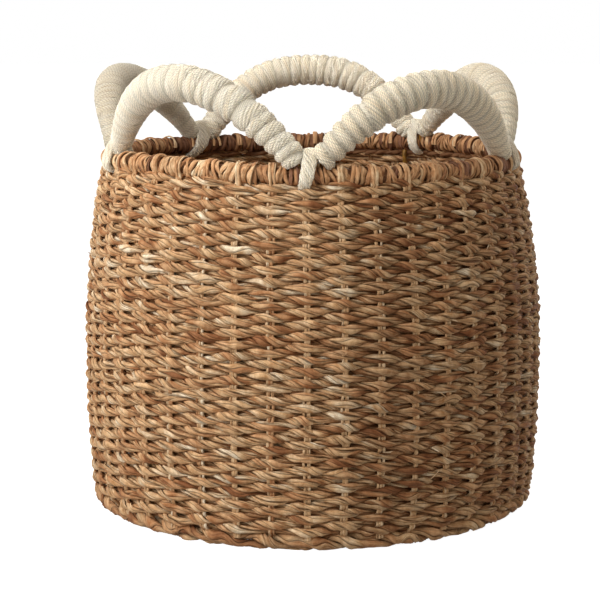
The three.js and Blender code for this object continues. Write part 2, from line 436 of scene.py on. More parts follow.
@dataclass(frozen=True)
class LeafRoll:
    """Section of a ply rolled from a few leaves, each with an edge that lies over the next."""

    leaves: int = 3
    at: tuple[float, ...] = (0.0, 0.09, 0.35, 0.66, 0.91)
    rise: tuple[float, ...] = (0.76, 1.03, 1.08, 1.02, 0.93)
    # Painted shade along the dip where each leaf's edge lies over the next.
    crease: float = 0.9
    hue_spread: float = 0.11
    light_spread: float = 0.12

    @property
    def corner(self) -> Array:
        """Angles of the section's corners."""
        return ((np.arange(self.leaves)[:, None] + np.array(self.at)) * TURN / self.leaves).reshape(-1)

    @property
    def fold(self) -> Array:
        """How far each corner stands from the middle, about 1."""
        return np.tile(self.rise, self.leaves)

    def tones(self, rng: Chance, angle: Array, hue: Array, light: Array, inner: Array) -> Array:
        """Gives every leaf of the roll its own colour, and paints shade into its crease and onto its inner
        side.

        Args:
            rng: Seeded source of chance.
            angle: Angles round the basket.
            hue: The strand's hue, by row and place.
            light: The strand's light, by row and place.
            inner: Painted shade where the plies meet, by row, place and corner.

        Returns:
            Hue, light and painted shade, by row, place and corner.
        """
        own = ring_noise(rng, angle, len(hue) * self.leaves * 2, 4, 40)
        own = own.reshape(2, len(hue), self.leaves, -1).transpose(0, 1, 3, 2)
        own = np.repeat(own, len(self.at), axis=3)
        # Painted shade in each leaf's crease, on top of the painted shade where the plies meet.
        crease = np.tile([self.crease] + [0.0] * (len(self.at) - 1), self.leaves)
        hue = hue[..., None] + self.hue_spread * own[0]
        light = light[..., None] + self.light_spread * own[1]
        return toned(hue, light, np.clip(crease + inner, 0, 1))

    @staticmethod
    def inner_shade(corner: Array, strength: float) -> Array:
        """Painted shade on the side of a ply that faces the middle of its strand."""
        return strength * np.clip(-1.4 * np.cos(corner) - 0.22, 0, 1)


LEAF_ROLL = LeafRoll()

# Finishes


class NodeTree:
    """Short way to write the nodes of a material or of the world."""

    def __init__(self, owner: bpy.types.ID) -> None:
        """Starts with no nodes.

        Args:
            owner: Material or world.
        """
        owner.use_nodes = True
        self.owner, self.tree = owner, owner.node_tree
        self.tree.nodes.clear()

    def add(self, kind: str, inputs: dict | None = None, **settings: object) -> bpy.types.Node:
        """Adds a node, sets it, and links or fills its sockets.

        Args:
            kind: Node type, after the usual ShaderNode.
            inputs: Values or output sockets, by socket name or number.
            settings: Attributes of the node.

        Returns:
            The node.
        """
        node = self.tree.nodes.new(f"ShaderNode{kind}")
        for key, value in settings.items():
            setattr(node, key, value)
        for key, value in (inputs or {}).items():
            if isinstance(value, Socket):
                self.tree.links.new(value, node.inputs[key])
            else:
                node.inputs[key].default_value = value
        return node

    def math(self, operation: str, first: Value, second: Value = 0.0, third: Value = 0.0) -> Socket:
        """Result of a Math node on up to three values or sockets."""
        return self.add("Math", {0: first, 1: second, 2: third}, operation=operation).outputs[0]

    def times(self, first: Value, second: Value) -> Socket:
        """One value times another."""
        return self.math("MULTIPLY", first, second)

    def line(self, value: Value, gain: Value, base: Value) -> Socket:
        """A value times a gain, on top of a base."""
        return self.math("MULTIPLY_ADD", value, gain, base)

    def mix(self, blend: str, amount: Value, first: Value, second: Value) -> Socket:
        """Colour mix of two colours or sockets, with the second one's share."""
        inputs = {0: amount, 6: first, 7: second}
        return self.add("Mix", inputs, data_type="RGBA", blend_type=blend).outputs[2]

    def noise(self, vector: Socket, scale: float, detail: float, rough: float) -> Socket:
        """Noise of about 0 to 1, with finer layers by detail and their strength by rough."""
        inputs = {"Vector": vector, "Scale": scale, "Detail": detail, "Roughness": rough}
        return self.add("TexNoise", inputs).outputs["Fac"]

    def stretched(self, along: float, across: float) -> Socket:
        """Texture places, with so many waves for each metre along and round the strand."""
        inputs = {0: self.add("UVMap", uv_map="grain").outputs[0], 1: (along, across, 1.0)}
        return self.add("VectorMath", inputs, operation="MULTIPLY").outputs[0]

    def grain(self, waves: Pair, detail: float, rough: float) -> Socket:
        """Noise with so many waves for each metre along and round the strand."""
        return self.noise(self.stretched(*waves), 1.0, detail, rough)

    def ramp(self, value: Socket, *stops: tuple[float, tuple[float, ...]]) -> Socket:
        """Adds a colour ramp.

        Args:
            value: What it reads.
            stops: Positions and colours.

        Returns:
            Its colour output.
        """
        node = self.add("ValToRGB", {0: value})
        elements = node.color_ramp.elements
        while len(elements) < len(stops):
            elements.new(0.5)
        for element, (place, colour) in zip(elements, stops):
            element.position, element.color = place, colour
        return node.outputs[0]

    def lit(self, colour: Socket, level: Socket) -> Socket:
        """A colour made lighter or darker."""
        return self.add("VectorMath", {0: colour, "Scale": level}, operation="SCALE").outputs[0]

    def tone(self) -> tuple[Socket, ...]:
        """Hue, light and a darkening for dirt and painted shade, of the strands, each 0 to 1."""
        colour = self.add("Attribute", attribute_name="tone").outputs["Color"]
        return tuple(self.add("SeparateColor", {0: colour}).outputs)[:3]

    def bump(self, height: Socket, strength: float, distance: float) -> Socket:
        """Normal of a surface where white stands out by a distance in metres."""
        return self.add("Bump", {"Height": height, "Strength": strength, "Distance": distance}).outputs[0]

    def finish(self, soft: bool = False, **sockets: Value) -> bpy.types.Material:
        """Adds the shader and the output.

        Args:
            soft: Whether light spreads from yarn to yarn below the surface.
            sockets: Values or sockets for the shader, with _ for a space.

        Returns:
            The material.
        """
        inputs = {key.replace("_", " "): value for key, value in sockets.items()}
        method = "BURLEY" if soft else "RANDOM_WALK"
        shader = self.add("BsdfPrincipled", inputs, subsurface_method=method)
        self.add("OutputMaterial", {0: shader.outputs[0]})
        return self.owner

    def seen(self) -> Socket:
        """Tells a look at the studio from the light that it gives.

        Returns:
            1 where the camera sees it, also in a shiny or clear thing, and else 0.
        """
        rays = self.add("LightPath").outputs
        either = rays["Is Camera Ray"]
        for kind in ("Is Glossy Ray", "Is Transmission Ray"):
            either = self.math("MAXIMUM", either, rays[kind])
        return either


@dataclass(frozen=True)
class LeafFinish:
    """Dried leaf: a palette that the strands' hue runs through, fibre streaks and creases, and a dark colour
    for painted shade.

    Waves are counted for each metre along and round the strand. A line is a gain and a base.
    """

    name: str
    palette: tuple[tuple[float, Colour], ...]
    streak: float = 0.45
    rough: float = 0.62
    crease: float = 0.7 * MM
    glare: float = 1.25
    softened: float = 0.62
    fibre_waves: Pair = (45, 2600)
    vein_waves: Pair = (20, 520)
    blotch_waves: Pair = (150, 260)
    fold_waves: Pair = (14, 330)
    fold_sharpness: float = 22.0
    vein_hue: float = 0.30
    light_line: Pair = (0.88, 0.95)
    # Gain and base of the painted shade along the fold lines.
    crease_shade_line: Pair = (0.30, 0.72)
    rough_line: Pair = (0.3, -0.12)
    relief: tuple[float, float, float] = (0.25, 0.8, 0.4)
    blotch: Colour = (198, 174, 148)
    # Dark colour of painted shade, and how much of it the tone's third channel mixes in.
    shade_colour: Colour = (50, 23, 5)
    shade_share: float = 0.82
    warmth: tuple[tuple[float, tuple[float, ...]], ...] = (
        (0.25, (1.0, 0.86, 0.66, 1)),
        (0.70, (1.0, 0.98, 0.94, 1)),
        (1.0, (0.95, 0.99, 1.0, 1)),
    )

    def material(self) -> bpy.types.Material:
        """Builds the material.

        Returns:
            The material.
        """
        nodes = NodeTree(bpy.data.materials.new(self.name))
        hue, light, wear_and_shade = nodes.tone()
        fibre = nodes.grain(self.fibre_waves, 3, 0.6)
        vein = nodes.grain(self.vein_waves, 2, 0.5)
        blotch = nodes.grain(self.blotch_waves, 4, 0.65)
        fold = nodes.grain(self.fold_waves, 1, 0.4)
        edge = nodes.math("ABSOLUTE", nodes.math("SUBTRACT", fold, 0.5))
        edge = nodes.math("MINIMUM", nodes.times(edge, self.fold_sharpness), 1.0)
        shifted = nodes.line(nodes.math("SUBTRACT", vein, 0.5), self.vein_hue, hue)
        colour = nodes.ramp(shifted, *((place, srgb(*tint)) for place, tint in self.palette))
        patches = nodes.ramp(blotch, (0.30, srgb(*self.blotch)), (0.62, srgb(255, 255, 255)))
        colour = nodes.mix("MULTIPLY", 1.0, colour, patches)
        lines = nodes.line(nodes.math("SUBTRACT", fibre, 0.5), self.streak * 2, 1.0)
        level = nodes.times(nodes.line(light, *self.light_line), lines)
        # Thin dark lines along the folds: painted shade in the creases, which the bump also follows.
        level = nodes.times(level, nodes.line(edge, *self.crease_shade_line))
        over = nodes.math("MAXIMUM", nodes.math("SUBTRACT", level, self.glare), 0.0)
        level = nodes.line(over, -self.softened, level)
        colour = nodes.mix("MULTIPLY", 1.0, colour, nodes.ramp(level, *self.warmth))
        colour = nodes.lit(colour, level)
        # The third tone channel mixes in the dark colour: painted shade in the creases, where the plies meet,
        # on the row packing, and on the binding's core, filler and wrap edges.
        colour = nodes.mix("MIX", nodes.times(wear_and_shade, self.shade_share), colour, srgb(*self.shade_colour))
        fibres, veins, folds = self.relief
        height = nodes.line(edge, folds, nodes.line(vein, veins, nodes.times(fibre, fibres)))
        gain, base = self.rough_line
        return nodes.finish(
            Base_Color=colour,
            Roughness=nodes.line(fibre, gain, self.rough + base),
            Normal=nodes.bump(height, 1.0, self.crease),
            Specular_IOR_Level=0.15,
        )


@dataclass(frozen=True)
class CottonFinish:
    """Undyed cotton: fine plies that wind round each yarn, and soft fuzz.

    Waves are counted for each metre along and round the yarn. A line is a gain and a base.
    """

    name: str = "cotton_yarn"
    pale: Colour = (234, 227, 210)
    deep: Colour = (222, 207, 180)
    # Colour of soiling, also used for painted shade on the lashings.
    soil_and_shade: Colour = (120, 92, 58)
    lay_waves: Pair = (2300.0, 3680.0)
    fuzz_waves: Pair = (900, 2600)
    cloud_waves: Pair = (60, 120)
    hue_line: Pair = (0.5, -0.05)
    cloud_hue: float = 0.55
    fuzz_line: Pair = (0.46, 0.66)
    lay_line: Pair = (0.46, 0.74)
    light_line: Pair = (0.60, 0.68)
    soil_and_shade_share: float = 0.8
    relief: Pair = (0.7, 0.55)
    depth: float = 0.45 * MM

    def material(self) -> bpy.types.Material:
        """Builds the material.

        Returns:
            The material.
        """
        nodes = NodeTree(bpy.data.materials.new(self.name))
        hue, light, wear_and_shade = nodes.tone()
        fuzz = nodes.grain(self.fuzz_waves, 3, 0.65)
        cloud = nodes.grain(self.cloud_waves, 3, 0.6)
        place = nodes.add("SeparateXYZ", {0: nodes.stretched(*self.lay_waves)}).outputs
        lay = nodes.line(nodes.math("SINE", nodes.math("ADD", place[0], place[1])), 0.5, 0.5)
        mixed = nodes.line(cloud, self.cloud_hue, nodes.line(hue, *self.hue_line))
        colour = nodes.ramp(mixed, (0.15, srgb(*self.deep)), (0.55, srgb(*self.pale)))
        level = nodes.times(nodes.line(fuzz, *self.fuzz_line), nodes.line(lay, *self.lay_line))
        # The light channel carries the painted light and shade of the handles' turns, flanks and dimming, and
        # of the lashings' flanks.
        level = nodes.times(level, nodes.line(light, *self.light_line))
        colour = nodes.lit(colour, level)
        # Dark cotton mixed in by the third tone channel: real soiling in spots on the handles, and painted
        # shade over the lashings that stand in shade.
        soil_and_shade = nodes.times(wear_and_shade, self.soil_and_shade_share)
        height = nodes.line(lay, self.relief[1], nodes.times(fuzz, self.relief[0]))
        return nodes.finish(
            soft=True,
            Base_Color=nodes.mix("MIX", soil_and_shade, colour, srgb(*self.soil_and_shade)),
            Roughness=0.92,
            Normal=nodes.bump(height, 0.85, self.depth),
            Specular_IOR_Level=0.15,
            Sheen_Weight=0.4,
            Sheen_Roughness=0.6,
            Subsurface_Weight=0.62,
            Subsurface_Radius=(1.0, 0.94, 0.84),
            Subsurface_Scale=0.011,
        )


@dataclass(frozen=True)
class WireFinish:
    """Gold-brown lacquer on steel wire. Waves are counted for each metre."""

    name: str = "lacquered_wire"
    colour: Colour = (186, 132, 52)
    darkened: float = 0.62
    cloud_waves: float = 90.0
    pit_waves: float = 900.0
    pit_strength: float = 0.35
    pit_depth: float = 0.1 * MM
    rough_line: Pair = (0.25, 0.28)

    def material(self) -> bpy.types.Material:
        """Builds the material.

        Returns:
            The material.
        """
        nodes = NodeTree(bpy.data.materials.new(self.name))
        place = nodes.add("TexCoord").outputs["Object"]
        cloud = nodes.noise(place, self.cloud_waves, 4, 0.6)
        pits = nodes.noise(place, self.pit_waves, 2, 0.6)
        deep = srgb(*(self.darkened * value for value in self.colour))
        return nodes.finish(
            Base_Color=nodes.ramp(cloud, (0.35, deep), (0.6, srgb(*self.colour))),
            Metallic=0.35,
            Roughness=nodes.line(cloud, *self.rough_line),
            Normal=nodes.bump(pits, self.pit_strength, self.pit_depth),
            Coat_Weight=0.3,
        )


LEAF_PALETTE = (
    (0.00, (126, 80, 50)),
    (0.20, (170, 122, 84)),
    (0.40, (190, 149, 111)),
    (0.56, (200, 163, 123)),
    (0.70, (204, 171, 135)),
    (0.85, (214, 188, 156)),
    (1.00, (228, 210, 185)),
)
BOUND_PALETTE = (
    (0.00, (114, 80, 70)),
    (0.18, (164, 116, 82)),
    (0.42, (202, 154, 112)),
    (0.66, (216, 175, 134)),
    (0.86, (226, 197, 160)),
    (1.00, (236, 214, 182)),
)

# Form


@dataclass(frozen=True)
class BasketForm:
    """The basket's main sizes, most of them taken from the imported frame."""

    belly_radius: float
    foot_radius: float
    wall_top: float
    rope_radius: float
    rope_thickness: float
    rim_radius: float
    rim_height: float
    rim_top: float
    binding_radius: float
    belly_height: float = 140 * MM
    shoulder_radius: float = 201.5 * MM
    foot_fullness: float = 3.5 * MM
    hoop_wire: float = 5 * MM
    handles: int = 5

    @classmethod
    def from_frame(cls) -> "BasketForm":
        """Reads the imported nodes' boxes.

        Returns:
            The form.
        """
        rope_low, rope_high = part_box("base_edge_rope")
        bind_low, bind_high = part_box("rim_binding")
        rope = rope_high.z - rope_low.z
        rim = -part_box("frame_rim_hoop")[0].y - cls.hoop_wire / 2
        binding = -bind_low.y - rim
        return cls(
            belly_radius=max(-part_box(f"weave_course_{i}")[0].y for i in range(1, 5)),
            foot_radius=-rope_low.y,
            wall_top=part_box("weave_course_4")[1].z,
            rope_radius=-rope_low.y - rope / 2,
            rope_thickness=rope,
            rim_radius=rim,
            rim_height=bind_high.z - binding,
            rim_top=bind_high.z,
            binding_radius=binding,
        )

    def wall_radius(self, height: Array) -> Array:
        """Finds the radius over the stitches.

        Args:
            height: Height above the floor.

        Returns:
            The radius there.
        """
        above = height > self.belly_height
        end = np.where(above, self.shoulder_radius, self.foot_radius + self.foot_fullness)
        span = np.where(above, self.wall_top - self.belly_height, self.belly_height)
        share = np.abs(height - self.belly_height) / span
        return self.belly_radius - (self.belly_radius - end) * share ** np.where(above, 2.0, 2.3)


@dataclass
class SubAssembly:
    """What every sub-assembly is fitted to, and what it is finished with."""

    form: BasketForm
    finishes: Finishes


# Wall


@dataclass
class WovenWall(SubAssembly):
    """Rows of two-ply twisted leaf, over and under the stakes by turns."""

    stakes: int = 42
    first_stake: float = math.radians(-1.3)
    rows: int = 58
    first_row: float = 17.3 * MM
    last_row: float = 315.4 * MM
    tighter: float = 0.10
    inset: float = 6.4 * MM
    depth_out: float = 3.5 * MM
    depth_in: float = 3.1 * MM
    lay: float = 45 * MM
    ply_across: float = 3.0 * MM
    ply_tall: float = 4.05 * MM
    squeezed: float = 0.64
    behind: float = 0.78
    uneven: float = 0.36 * MM
    # Strength of the painted shade where the two plies of a row meet.
    valley_shade: float = 0.8
    packing_across: float = 0.9 * MM
    packing_tall: float = 1.5 * MM
    packing_uneven: float = 0.3 * MM
    steps: int = 12
    pieces: int = 12
    courses: int = 4
    wander_rise: float = 1.0 * MM
    waves: tuple[tuple[float, ...], ...] = (
        (0.9, 3, 7, 0.4),
        (0.7, 5, -11, 2.1),
        (0.5, 11, 17, 1.3),
        (0.35, 23, -29, 0.0),
    )
    snug: Swells = (Swell(0, 600, 1.0 * MM), Swell(38, 24, 3.2 * MM), Swell(-7, 9, -2.4 * MM))
    snug_from: float = 240 * MM
    # Painted light and shade round the wall: lighter near the front and to the left, darker just right of the
    # front and further right, where the lamps fall off.
    painted_shading_swells: Swells = (Swell(-6, 12, 0.46), Swell(16, 7, -0.54), Swell(62, 24, -0.50), Swell(-46, 13, 0.36))
    # Painted light on the rows just under the binding, lifting them out of its shadow.
    painted_top_light: float = 0.45
    top_deep: float = 36 * MM

    def level(self, row: Array) -> Array:
        """Finds the height of a row, the lower ones being further apart.

        Args:
            row: Row number from the bottom, whole or not.

        Returns:
            Height above the floor.
        """
        share = row / (self.rows - 1)
        share = share + self.tighter * share * (1 - share)
        return self.first_row + (self.last_row - self.first_row) * share

    def wander(self, angle: Array, height: Array) -> Array:
        """Finds how far the rows leave their level, as neighbours do together.

        Args:
            angle: Angle round the basket.
            height: Height above the floor.

        Returns:
            The rise, in metres.
        """
        share = height / self.form.wall_top
        window = np.clip(4 * share * (1 - share), 0, 1)
        waves = sum(size * np.sin(turns * angle + tilt * share + at) for size, turns, tilt, at in self.waves)
        near = np.clip((height - self.snug_from) / (self.last_row - self.snug_from), 0, 1)
        return self.wander_rise * window * waves + swelled(self.snug, angle) * near * near

    def heights(self, row: Array, angle: Array) -> Array:
        """Heights of rows at each angle."""
        level = self.level(row) + 0 * angle
        return level + self.wander(angle, level)

    def plies(self) -> tuple[Array, Array]:
        """Sweeps every ply of every row.

        Returns:
            Points and tones by row, ply, place, corner and number.
        """
        rng = np.random.default_rng(11)
        count = self.rows
        angle = round_angles(self.stakes * self.steps)
        number = np.arange(count)[:, None]
        height = self.heights(number, angle) + self.uneven * ring_noise(rng, angle, count, 6, 40)
        over = np.cos(self.stakes / 2 * (angle - self.first_stake) + math.pi * number)
        over = over * (1.35 - 0.35 * over * over)
        behind = (self.squeezed - self.behind) / (1 - self.squeezed)
        squeeze = self.squeezed + (1 - self.squeezed) * np.where(over > 0, over, behind * over)
        loose = 1 + 0.10 * ring_noise(rng, angle, count, 20, 60)
        depth = np.where(over > 0, self.depth_out, self.depth_in) * over * loose
        centre = self.form.wall_radius(height) - self.inset + depth
        turns = TURN * centre.mean(axis=1, keepdims=True) / self.lay
        turns = np.round(turns * rng.uniform(0.85, 1.18, (count, 1)))
        twist = rng.uniform(0, TURN, (count, 1)) - turns * angle + 0.55 * ring_noise(rng, angle, count, 8, 34)
        # Painted light and shade by angle; the shaded stretches also get a deeper hue.
        painted_shading = swelled(self.painted_shading_swells, angle)
        # Painted light on the rows just under the binding.
        top = self.painted_top_light * np.clip(1 - (self.last_row - height) / self.top_deep, 0, 1)
        points, tones = [], []
        for ply in range(2):
            unwound = np.round(0.5 * turns) * angle + 0.9 * ring_noise(rng, angle, count, 3, 25)
            corner = LEAF_ROLL.corner + unwound[..., None] + rng.uniform(0, TURN, (count, 1, 1))
            fold = LEAF_ROLL.fold * (1 + 0.15 * ring_noise(rng, angle, count, 18, 80))[..., None]
            away, aside = 0.47 + 0.53 * fold * np.cos(corner), 0.84 * fold * np.sin(corner)
            out, up = laid((twist + math.pi * ply)[..., None], away, aside)
            rise = height[..., None] + self.ply_tall * squeeze[..., None] * up
            points.append(on_ring(centre[..., None] + self.ply_across * out, angle[:, None], rise))
            hue = 0.50 + 0.12 * each(rng, count) + 0.10 * ring_noise(rng, angle, count, 2, 9)
            hue = hue + 0.08 * ring_noise(rng, angle, count, 20, 70) + 0.25 * np.minimum(painted_shading, 0)
            pale = np.clip(ring_noise(rng, angle, count, 5, 40) - 1.75, 0, 1)
            light = 0.54 + 0.13 * ring_noise(rng, angle, count, 8, 45) + 0.09 * each(rng, count)
            inner = LEAF_ROLL.inner_shade(corner, self.valley_shade)
            tones.append(LEAF_ROLL.tones(rng, angle, hue + 0.38 * pale, light + painted_shading + top, inner))
        return np.stack(points, axis=1), np.stack(tones, axis=1)

    def build(self) -> None:
        """Makes three pieces for each course of the frame, and what is packed between the rows."""
        points, tones = self.plies()
        for index, group in enumerate(np.array_split(np.arange(self.rows), self.pieces)):
            course = index * self.courses // self.pieces + 1
            hidden = (f"weave_course_{course}",)
            mesh = StrandMesh(f"weave_rows_{index + 1}", Slot.LEAF, 100 + index, hidden)
            mesh.add(np.concatenate(points[group]), np.concatenate(tones[group]), True)
            mesh.build(self.finishes)
        self.build_packing()

    def build_packing(self) -> None:
        """Makes the thin strands packed between the rows, which close the slits where they cross; their dark
        tone is painted shade in the slits.
        """
        rng = np.random.default_rng(13)
        angle, corner = round_angles(self.stakes * 6), round_angles(6)
        height = self.heights(np.arange(self.rows - 1)[:, None] + 0.5, angle)
        centre = self.form.wall_radius(height) - self.inset
        centre = centre + self.packing_uneven * ring_noise(rng, angle, len(height), 20, 60)
        out = centre[..., None] + self.packing_across * np.cos(corner)
        rise = height[..., None] + self.packing_tall * np.sin(corner)
        mesh = StrandMesh("row_packing", Slot.LEAF, 190)
        # Dark tone: painted shade in the slits between the rows.
        mesh.add(on_ring(out, angle[:, None], rise), (0.25, 0.3, 0.6), True)
        mesh.build(self.finishes)


def stake_tones(rng: Chance, count: int, places: int, brighter: float = 0.0) -> Array:
    """Colours plain, pale stake strands.

    Args:
        rng: Seeded source of chance.
        count: How many strands.
        places: Places along each.
        brighter: How much lighter than usual they are.

    Returns:
        Hue, light and wear by strand and place.
    """
    hue = 0.56 + 0.16 * each(rng, count) + 0.10 * path_noise(rng, places, count, 30)
    light = 0.46 + 0.14 * path_noise(rng, places, count, 30)
    tone = toned(hue, light, 0.0)
    tone[..., 1] += brighter
    return tone


@dataclass
class Stakes(SubAssembly):
    """Bundles of thin strands that the rows go round, folded over the rim at the top."""

    wall: WovenWall
    strands: int = 3
    radius: float = 1.28 * MM
    spacing: float = 1.95 * MM
    bulge: float = 2.5 * MM
    forward: float = 1.7 * MM
    drift: float = 0.6 * MM
    past_last_row: float = 4 * MM
    steps_per_row: int = 4
    fold_width: float = 2.9 * MM
    fold_thickness: float = 1.7 * MM
    fold_depth: float = 28 * MM
    fold_clear: float = 1.2 * MM
    fold_tuck: float = 1.8 * MM
    fold_lean: Pair = (-0.8 * MM, 1.3 * MM)
    fold_drift: float = 0.4 * MM

    def columns(self) -> Array:
        """Angle of each stake."""
        return self.wall.first_stake + round_angles(self.wall.stakes)

    def build(self) -> None:
        """Makes the part of the stakes inside the wall, and the folded ends."""
        wall, form = self.wall, self.form
        rng = np.random.default_rng(23)
        places = wall.rows * self.steps_per_row
        height = np.linspace(form.rope_thickness * 0.7, wall.last_row + self.past_last_row, places)
        numbers = np.arange(-1, wall.rows + 1)
        row = np.interp(height, wall.level(numbers), numbers)
        for half in range(2):
            mesh = StrandMesh(f"stakes_{half + 1}", Slot.LEAF, 200 + half)
            chosen = np.arange(wall.stakes)[half::2]
            for strand in range(self.strands):
                aside = (strand - (self.strands - 1) / 2) * self.spacing
                drift = self.drift * path_noise(rng, places, chosen.size, 14)
                angle = self.columns()[chosen, None] + (aside + drift) / form.belly_radius
                bulge = self.forward - self.bulge * np.cos(math.pi * (row - chosen[:, None]))
                radius = form.wall_radius(height) - wall.inset + bulge
                centre = on_ring(radius, angle, height + wall.wander(angle, height[None]))
                girth = self.radius * (1 + 0.16 * path_noise(rng, places, chosen.size, 20))
                tube = sweep(centre, on_ring(1.0, angle, 0.0), round_section(girth, 6, 0.9))
                mesh.add(tube, stake_tones(rng, chosen.size, places))
            mesh.build(self.finishes)
        self.build_folds()

    def build_folds(self) -> None:
        """Makes the ends that go over the binding and down into the first rows."""
        form = self.form
        rng = np.random.default_rng(29)
        mesh = StrandMesh("stake_folds", Slot.BOUND, 210)
        count = self.wall.stakes
        clear = form.binding_radius + self.fold_clear
        turn = np.linspace(-0.5, 1.05 * math.pi, 15)
        low = form.rim_height - self.fold_depth
        outer = form.wall_radius(np.array(form.wall_top)) - self.wall.inset + self.fold_tuck
        out, up = form.rim_radius + clear * np.cos(turn), form.rim_height + clear * np.sin(turn)
        down = np.linspace(0, 1, 7)[:-1]
        radius = np.concatenate([outer + (out[0] - outer) * down**0.6, out])
        rise = np.concatenate([low + (up[0] - low) * down, up])
        places = radius.size
        for strand in range(2):
            aside = (strand - 0.5) * (self.fold_width * 0.95)
            lean = rng.normal(*self.fold_lean, (count, 1)) * np.linspace(-1, 1, places)
            drift = self.fold_drift * path_noise(rng, places, count, 5)
            angle = self.columns()[:, None] + (aside + lean + drift) / form.rim_radius
            centre = on_ring(radius, angle, rise)
            width = self.fold_width / 2 * (1 + 0.14 * path_noise(rng, places, count, 6))
            section = round_section(width, 8, self.fold_thickness / self.fold_width)
            tube = sweep(centre, centre - on_ring(form.rim_radius, angle, form.rim_height), section)
            mesh.add(tube, stake_tones(rng, count, places, brighter=0.1))
        mesh.build(self.finishes)


@dataclass
class LooseEnds(SubAssembly):
    """Leaf tips that poke out, outside and inside, where a new leaf was laid in."""

    wall: WovenWall
    each_side: int = 70
    shortest: float = 6 * MM
    longest: float = 15 * MM
    width: float = 1.5 * MM
    bend: float = 1.2 * MM
    sink: float = 2.2 * MM
    below: float = 0.3 * MM
    wall_depth: float = 12.2 * MM

    def build(self) -> None:
        """Makes the tips."""
        count, one = self.each_side, (self.each_side, 1)
        rng = np.random.default_rng(51)
        mesh = StrandMesh("leaf_ends", Slot.LEAF, 800)
        way = np.linspace(0, 1, 9)
        for face, depth in ((1, 0.0), (-1, self.wall_depth)):
            length = rng.uniform(self.shortest, self.longest, one)
            angle = rng.uniform(0, TURN, one)
            height = self.wall.level(rng.integers(1, self.wall.rows - 2, one) + 0.5)
            heading = np.where(rng.uniform(size=one) > 0.5, 1, -1) * rng.uniform(0.6, 1.0, one)
            slope = rng.normal(-0.1, 0.25, one)
            curl = rng.uniform(0.2, 2.2, one) * MM
            along = heading * length * way
            rise = slope * length * way + rng.normal(0, self.bend, one) * way**2
            sink = self.sink * (1 - way) ** 2 + self.below
            radius = self.form.wall_radius(height) - depth + face * (curl * way**1.7 - sink)
            centre = on_ring(radius, angle + along / self.form.belly_radius, height + rise)
            taper = np.sqrt(np.clip(1 - way**2.2, 0.004, 1))
            section = round_section(self.width / 2 * rng.uniform(0.6, 1.2, one) * taper, 6, 0.28)
            hue, light = 0.68 + 0.18 * each(rng, count), 0.55 + 0.12 * each(rng, count)
            tone = toned(hue, light, 0.0, (0.02, 0.99))
            mesh.add(sweep(centre, face * on_ring(1.0, angle + 0 * way, 0.0), section), tone)
        mesh.build(self.finishes)


# Foot and bottom


@dataclass
class FootRope(SubAssembly):
    """Thick rope of rolled leaves round the bottom, which the basket stands on."""

    plies: int = 2
    lay: float = 74 * MM
    steps: int = 504
    # Strength of the painted shade where the rope's plies meet.
    valley_shade: float = 0.6

    def build(self) -> None:
        """Makes the rope."""
        form = self.form
        rng = np.random.default_rng(41)
        angle = round_angles(self.steps)
        turns = round(TURN * form.rope_radius / self.lay)
        half = form.rope_thickness / 2
        points, tones = [], []
        twist = 0.45 * ring_noise(rng, angle, 1, 10, 40)[0]
        for ply in range(self.plies):
            noise = ring_noise(rng, angle, 3, 10, 60)
            lay = (-turns * angle + TURN * ply / self.plies + twist + 0.15 * noise[0])[:, None]
            corner = LEAF_ROLL.corner + (round(0.4 * turns) * angle + 0.8 * noise[1])[:, None]
            fold = LEAF_ROLL.fold * (1 + 0.10 * noise[2][:, None])
            out, up = laid(lay, 0.46 + 0.50 * fold * np.cos(corner), 0.80 * fold * np.sin(corner))
            reach = form.rope_radius + form.foot_fullness + half * out
            points.append(on_ring(reach, angle[:, None], half + half * np.maximum(up, -0.98)))
            hue = 0.50 + 0.10 * rng.normal() + 0.12 * ring_noise(rng, angle, 1, 5, 40)
            light = 0.60 + 0.14 * ring_noise(rng, angle, 1, 20, 70)
            inner = LEAF_ROLL.inner_shade(corner, self.valley_shade)
            tones.append(LEAF_ROLL.tones(rng, angle, hue, light, inner)[0])
        mesh = StrandMesh("foot_rope", Slot.LEAF, 400, ("base_edge_rope",))
        mesh.add(np.stack(points), np.stack(tones), True)
        mesh.build(self.finishes)


